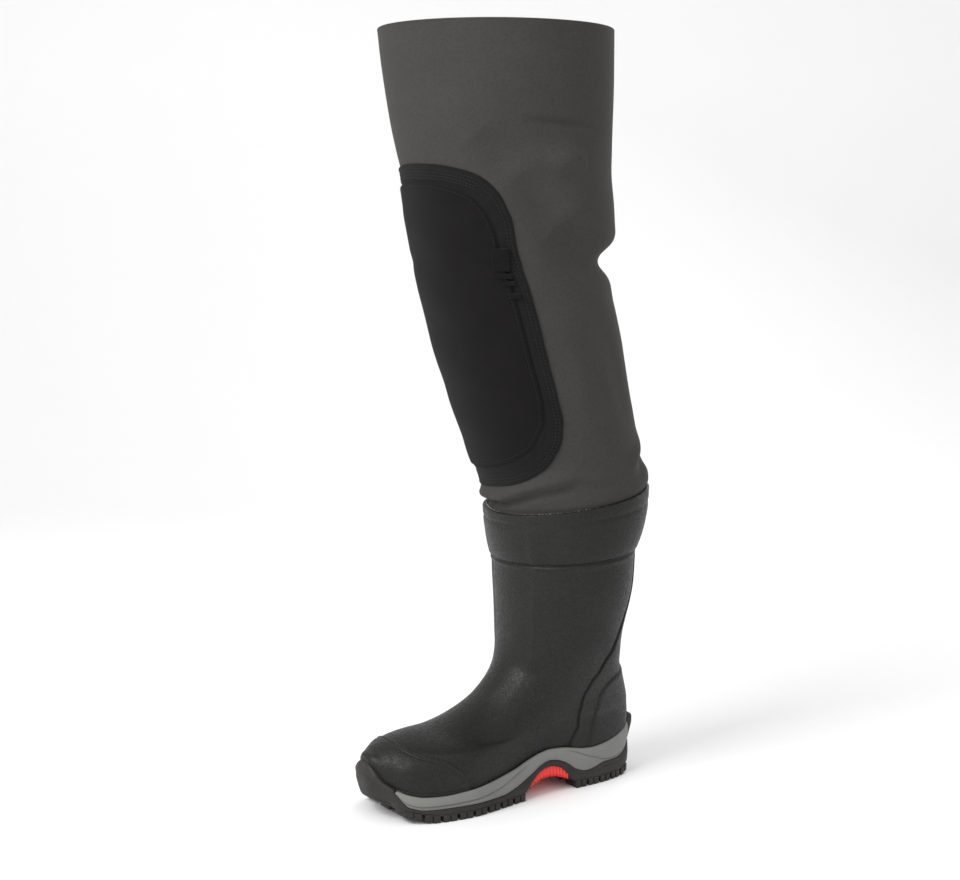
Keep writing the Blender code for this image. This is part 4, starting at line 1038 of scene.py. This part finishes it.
class Finish:
    """A procedural material that is put together layer by layer."""

    def __init__(self, name, colour, roughness, specular=0.5):
        self.material = bpy.data.materials.new(name)
        self.material.use_nodes = True
        self.nodes = self.material.node_tree.nodes
        self.links = self.material.node_tree.links
        self.shader = self.nodes["Principled BSDF"]
        self.shader.inputs["Base Color"].default_value = (*linear(colour), 1)
        self.shader.inputs["Roughness"].default_value = roughness
        self.shader.inputs["Specular IOR Level"].default_value = specular
        self.place = self.nodes.new("ShaderNodeTexCoord").outputs["Object"]
        self.colour = None
        self.base = linear(colour)
        self.bump = None

    def node(self, kind, inputs, **settings):
        """Add a node and set or link its inputs."""
        made = self.nodes.new("ShaderNode" + kind)
        for name, value in settings.items():
            setattr(made, name, value)
        for name, value in inputs.items():
            if isinstance(value, bpy.types.NodeSocket):
                self.links.new(value, made.inputs[name])
            else:
                made.inputs[name].default_value = value
        return made.outputs

    def texture(self, kind, *settings):
        """One of the textures below, by its name."""
        return getattr(self, kind)(*settings)

    def noise(self, scale, detail=3.0, roughness=0.55):
        return self.node("TexNoise", {"Scale": scale, "Detail": detail, "Roughness": roughness,
                                      "Vector": self.place})["Fac"]

    def cells(self, scale, feature="F1", place=None):
        return self.node("TexVoronoi", {"Scale": scale, "Vector": place or self.place},
                         feature=feature)["Distance"]

    def knit(self, scale):
        """Cells that are drawn out along the leg."""
        place = self.node("Mapping", {"Scale": (1, 1, 0.6), "Vector": self.place})["Vector"]
        return self.cells(scale, place=place)

    def waves(self, scale, axis):
        return self.node("TexWave", {"Scale": scale, "Distortion": 0.4, "Vector": self.place},
                         bands_direction=axis)["Fac"]

    def ramp(self, value, low, high, out_low=0.0, out_high=1.0):
        return self.node("MapRange", {"From Min": low, "From Max": high, "To Min": out_low,
                                      "To Max": out_high, "Value": value})["Result"]

    def tint(self, value, colour, low=0.3, high=0.7, share=1.0):
        """Mix a colour in where a texture is high."""
        self.colour = self.node("Mix", {"Factor": self.ramp(value, low, high, 0.0, share),
                                        "A": self.colour or (*self.base, 1), "B": (*linear(colour), 1)},
                                data_type="RGBA")["Result"]
        self.links.new(self.colour, self.shader.inputs["Base Color"])
        return self

    def gloss(self, value, low, high, rough_low, rough_high):
        self.links.new(self.ramp(value, low, high, rough_low, rough_high), self.shader.inputs["Roughness"])
        return self

    def grain(self, value, depth, strength=1.0):
        """Relief of a real depth in metres."""
        inputs = {"Strength": strength, "Distance": depth, "Height": value}
        if self.bump is not None:
            inputs["Normal"] = self.bump
        self.bump = self.node("Bump", inputs)["Normal"]
        self.links.new(self.bump, self.shader.inputs["Normal"])
        return self

    def sheen(self, weight, roughness=0.5):
        self.shader.inputs["Sheen Weight"].default_value = weight
        self.shader.inputs["Sheen Roughness"].default_value = roughness
        return self


def lighter(colour, factor):
    return tuple(min(1.0, c * factor) for c in colour)


# Layers of the finishes. A layer starts with its texture and goes on, in a tint, with a factor for
# the colour, the texture's low and high and a share; in a grain, with a depth in metres and a
# strength; in the gloss, with the roughness at the texture's low and high
Look = namedtuple("Look", "roughness specular tints grains gloss sheen", defaults=(None, None))


def woven(coarse):
    """Close woven or knitted cloth over a thin pad."""
    return Look(0.92, 0.10,
                ((("noise", 34, 4), 1.18, 0.38, 0.72, 0.6),
                 (("noise", coarse * 0.8, 2), 1.5, 0.55, 0.75, 0.45)),
                ((("waves", coarse, "Z"), 0.00014, 0.5), (("waves", coarse, "DIAGONAL"), 0.00014, 0.5),
                 (("cells", coarse * 1.6), 0.00012, 0.5)), sheen=(0.04, 0.5))


LOOKS = {
    # smooth knitted face on foam: tiny stitches, a little fuzz and soft mottling
    "neoprene_knit": Look(
        0.90, 0.12,
        ((("noise", 26, 4), 1.10, 0.35, 0.75, 0.6), (("noise", 340, 2), 0.86, 0.45, 0.70, 0.5),
         (("knit", 1250), 1.22, 0.25, 0.6, 0.35)),
        ((("noise", 420, 2), 0.00012, 0.5), (("knit", 1250), 0.00016, 0.6)), sheen=(0.05, 0.45)),
    # fine-grained matt rubber, a little paler where it is rubbed
    "grained_rubber": Look(
        0.46, 0.27,
        ((("noise", 18, 5), 1.22, 0.40, 0.72, 0.6), (("noise", 620, 2), 2.1, 0.56, 0.74, 0.60),
         (("noise", 480, 2), 0.40, 0.50, 0.70, 0.65)),
        ((("noise", 300, 3), 0.00034, 0.7), (("cells", 760, "SMOOTH_F1"), 0.00036, 0.9)),
        (("noise", 420, 2), 0.36, 0.60)),
    # moulded rubber with a dusty, speckled face
    "sole_rubber": Look(
        0.58, 0.30,
        ((("noise", 30, 4), 1.35, 0.42, 0.74, 0.6), (("noise", 1100, 2), 1.9, 0.62, 0.76, 0.5)),
        ((("cells", 700, "SMOOTH_F1"), 0.00025, 0.8),), (("noise", 45, 3), 0.50, 0.68)),
    "moulded_foam": Look(
        0.50, 0.40,
        ((("noise", 22, 4), 0.90, 0.40, 0.72, 0.5), (("noise", 700, 2), 1.10, 0.50, 0.72, 0.4)),
        ((("noise", 800, 2), 0.00010, 0.6),), (("noise", 70, 3), 0.42, 0.56)),
    "insert_rubber": Look(
        0.42, 0.5, ((("noise", 80, 3), 0.84, 0.45, 0.75, 0.5),), ((("noise", 600, 2), 0.00010, 0.6),)),
    "pad_cloth": woven(700),
    "pocket_cloth": woven(1100),
    "closure_tape": woven(900),
    "sewing_thread": Look(
        0.62, 0.4, ((("noise", 1500, 1), 0.7, 0.45, 0.7, 0.6),), ((("waves", 1800, "Z"), 0.00008, 0.6),)),
    "dried_glue": Look(0.6, 0.4, ((("noise", 900, 2), 0.6, 0.45, 0.65, 0.8),), ()),
    "lining_cloth": Look(
        0.95, 0.2, ((("noise", 500, 2), 1.4, 0.45, 0.7, 0.6),), ((("cells", 900), 0.0002, 0.7),),
        sheen=(0.15, 0.5)),
}
GLOSS_SPAN = (0.3, 0.7)  # of the texture that the gloss follows


def finish_of(name, colour):
    look = LOOKS[name]
    made = Finish(name, colour, look.roughness, look.specular)
    for texture, factor, *span in look.tints:
        made.tint(made.texture(*texture), lighter(colour, factor), *span)
    if look.gloss:
        texture, *roughness = look.gloss
        made.gloss(made.texture(*texture), *GLOSS_SPAN, *roughness)
    for texture, *relief in look.grains:
        made.grain(made.texture(*texture), *relief)
    if look.sheen:
        made.sheen(*look.sheen)
    return made.material


CAMERA_SPOT = (1.0307, 1.4250, 0.5674)
LOOK = (-0.5354, -0.8446, 0.0)
CAMERA_PITCH = 0.139
PHOTO_LENS = 71.25
LIGHTS = (
    ("key_softbox", (1.8, 0.3, 1.2), 38.0, 1.1),
    ("side_softbox", (0.4, 1.8, 1.3), 8.0, 1.4),
    ("back_softbox", (-1.5, -0.8, 1.3), 10.0, 1.4),
)
FLOOR_NEAR = -2.6
FLOOR_BEND = 1.6
FLOOR_RADIUS = 0.9
FLOOR_HALF = 4
BACKDROP_TOP = 3.6


def build_stage(sizes):
    """A pale floor that curves up into a backdrop, soft lights and the camera."""
    bm = bmesh.new()
    profile = [(FLOOR_NEAR, 0.0), (FLOOR_BEND, 0.0)]
    profile += [(FLOOR_BEND + FLOOR_RADIUS * math.sin(a), FLOOR_RADIUS - FLOOR_RADIUS * math.cos(a))
                for a in np.linspace(0.1, math.pi / 2, 14)]
    profile.append((FLOOR_BEND + FLOOR_RADIUS, BACKDROP_TOP))
    look = Vector(LOOK).normalized()
    side = Vector((look.y, -look.x, 0))
    rows = []
    for along, high in profile:
        rows.append([bm.verts.new(look * along + side * out + Vector((0, 0, high)))
                     for out in (-FLOOR_HALF, FLOOR_HALF)])
    for low, high in zip(rows, rows[1:]):
        bm.faces.new((low[0], low[1], high[1], high[0]))
    mesh = bpy.data.meshes.new("studio_floor")
    bm.to_mesh(mesh)
    bm.free()
    mesh.shade_smooth()
    floor = bpy.data.objects.new("studio_floor", mesh)
    bpy.context.scene.collection.objects.link(floor)
    paint = Finish("studio_paint", (0.985, 0.985, 0.985), 0.9, 0.1)
    paint.tint(paint.noise(3, 2), (0.99, 0.99, 0.99), 0.3, 0.7, 0.5)
    floor.data.materials.append(paint.material)

    world = bpy.data.worlds.new("studio_light")
    world.use_nodes = True
    world.node_tree.nodes["Background"].inputs["Color"].default_value = (1, 1, 1, 1)
    world.node_tree.nodes["Background"].inputs["Strength"].default_value = sizes.room_light
    bpy.context.scene.world = world
    centre = Vector((0.07, 0.0, 0.36))
    for name, spot, power, size in LIGHTS:
        lamp = bpy.data.lights.new(name, "AREA")
        lamp.energy = power * sizes.lamp_light
        lamp.size = size
        thing = bpy.data.objects.new(name, lamp)
        thing.location = centre + Vector(spot)
        thing.rotation_euler = (-Vector(spot)).to_track_quat("-Z", "Y").to_euler()
        bpy.context.scene.collection.objects.link(thing)

    camera = bpy.data.objects.new("photo_camera", bpy.data.cameras.new("photo_camera"))
    camera.data.sensor_width = 36.0
    camera.data.lens = PHOTO_LENS * sizes.framing
    camera.data.shift_y = sizes.lower_by
    camera.location = CAMERA_SPOT
    aim = look * math.cos(CAMERA_PITCH) - Vector((0, 0, math.sin(CAMERA_PITCH)))
    camera.rotation_euler = aim.to_track_quat("-Z", "Y").to_euler()
    bpy.context.scene.collection.objects.link(camera)
    bpy.context.scene.camera = camera
    bpy.context.scene.view_settings.view_transform = "Standard"


class WaderSizes(bpy.types.PropertyGroup):
    stitch_pitch: FloatProperty(name="Stitch pitch", description="From one stitch to the next",
                                default=0.0034, unit="LENGTH")
    foam_line_depth: FloatProperty(name="Foam line depth", description="Depth of the lines in the foam",
                                   default=0.0011, unit="LENGTH")
    room_light: FloatProperty(name="Room light", description="Strength of the even light", default=0.66)
    lamp_light: FloatProperty(name="Lamp light", description="Strength of the soft lamps", default=1.0)
    framing: FloatProperty(name="Framing", description="1 is the photograph's own framing",
                           default=0.93, subtype="FACTOR")
    lower_by: FloatProperty(name="Lower by", description="Camera shift that lowers the part in the frame",
                            default=0.022, subtype="FACTOR")


def swatch(name, description, seen):
    return FloatVectorProperty(name=name, description=description, default=seen, size=3, min=0.0, max=1.0,
                               subtype="COLOR_GAMMA")


class WaderColours(bpy.types.PropertyGroup):
    neoprene: swatch("Neoprene", "Knitted face of the leg", (0.218, 0.214, 0.208))
    boot: swatch("Boot rubber", "Rubber of the boot", (0.098, 0.096, 0.092))
    sole: swatch("Sole rubber", "Rubber of the sole", (0.155, 0.146, 0.141))
    foam: swatch("Foam", "Cup sole", (0.455, 0.455, 0.442))
    insert: swatch("Insert", "Ribbed arch insert", (0.90, 0.21, 0.19))
    pad: swatch("Knee pad", "Cloth of the pad's border", (0.096, 0.092, 0.093))
    pocket: swatch("Knee pocket", "Cloth of the inner panel", (0.078, 0.072, 0.075))
    closure: swatch("Closure", "Tab and hook bars of the pocket", (0.075, 0.070, 0.072))
    thread: swatch("Thread", "Sewing thread", (0.13, 0.127, 0.13))
    glue: swatch("Glue", "Dried glue at the collar", (0.60, 0.59, 0.56))
    lining: swatch("Lining", "Footbed cloth", (0.16, 0.16, 0.16))


class WADER_OT_leg(bpy.types.Operator):
    """Neoprene leg with its folds, lapped inside the boot's collar"""
    bl_idname = "wader.leg"
    bl_label = "Neoprene leg"

    def execute(self, context):
        build_leg(finish_of("neoprene_knit", context.scene.wader_colours.neoprene))
        return {"FINISHED"}


class WADER_OT_boot(bpy.types.Operator):
    """Rubber boot with its toe cap, back stay and heel counter"""
    bl_idname = "wader.boot"
    bl_label = "Rubber boot"

    def execute(self, context):
        rubber = finish_of("grained_rubber", context.scene.wader_colours.boot)
        build_boot(rubber)
        build_overlays(rubber)
        build_glue_line(finish_of("dried_glue", context.scene.wader_colours.glue))
        return {"FINISHED"}


class WADER_OT_sole(bpy.types.Operator):
    """Black treaded sole, foam cup, arch insert, heel ledge and footbed"""
    bl_idname = "wader.sole"
    bl_label = "Sole"

    def execute(self, context):
        colours = context.scene.wader_colours
        black = finish_of("sole_rubber", colours.sole)
        build_outsole(black)
        build_kick_spur(black)
        line_depth = context.scene.wader_sizes.foam_line_depth
        build_midsole(line_depth, finish_of("moulded_foam", colours.foam))
        build_arch_insert(finish_of("insert_rubber", colours.insert))
        build_insole(finish_of("lining_cloth", colours.lining))
        return {"FINISHED"}


class WADER_OT_knee(bpy.types.Operator):
    """Knee pad and its pocket, with their stitching"""
    bl_idname = "wader.knee"
    bl_label = "Knee pad"

    def execute(self, context):
        pitch, colours = context.scene.wader_sizes.stitch_pitch, context.scene.wader_colours
        thread = finish_of("sewing_thread", colours.thread)
        build_knee_pad(pitch, finish_of("pad_cloth", colours.pad), thread)
        build_knee_pocket(pitch, finish_of("pocket_cloth", colours.pocket), thread)
        build_pocket_closure(finish_of("closure_tape", colours.closure))
        return {"FINISHED"}


class WADER_OT_stage(bpy.types.Operator):
    """Pale floor, soft light and the camera"""
    bl_idname = "wader.stage"
    bl_label = "Studio"

    def execute(self, context):
        build_stage(context.scene.wader_sizes)
        return {"FINISHED"}


class WADER_PT_panel(bpy.types.Panel):
    """Lists the sizes, the colours and the builders"""
    bl_idname = "WADER_PT_panel"
    bl_label = "Wader leg"
    bl_space_type = "VIEW_3D"
    bl_region_type = "UI"
    bl_category = "Wader"

    def draw(self, context):
        for group in (context.scene.wader_sizes, context.scene.wader_colours):
            for name in group.__annotations__:
                self.layout.prop(group, name)
        for kind in BUILDERS:
            self.layout.operator(kind.bl_idname)


BUILDERS = (WADER_OT_leg, WADER_OT_boot, WADER_OT_sole, WADER_OT_knee, WADER_OT_stage)
CLASSES = (WaderSizes, WaderColours) + BUILDERS + (WADER_PT_panel,)


def register():
    for kind in CLASSES:
        bpy.utils.register_class(kind)
    bpy.types.Scene.wader_sizes = PointerProperty(type=WaderSizes)
    bpy.types.Scene.wader_colours = PointerProperty(type=WaderColours)


def unregister():
    del bpy.types.Scene.wader_colours
    del bpy.types.Scene.wader_sizes
    for kind in reversed(CLASSES):
        bpy.utils.unregister_class(kind)


def main():
    register()
    bpy.ops.wader.leg()
    bpy.ops.wader.boot()
    bpy.ops.wader.sole()
    bpy.ops.wader.knee()
    bpy.ops.wader.stage()
    bpy.context.view_layer.update()


if __name__ == "__main__":
    main()
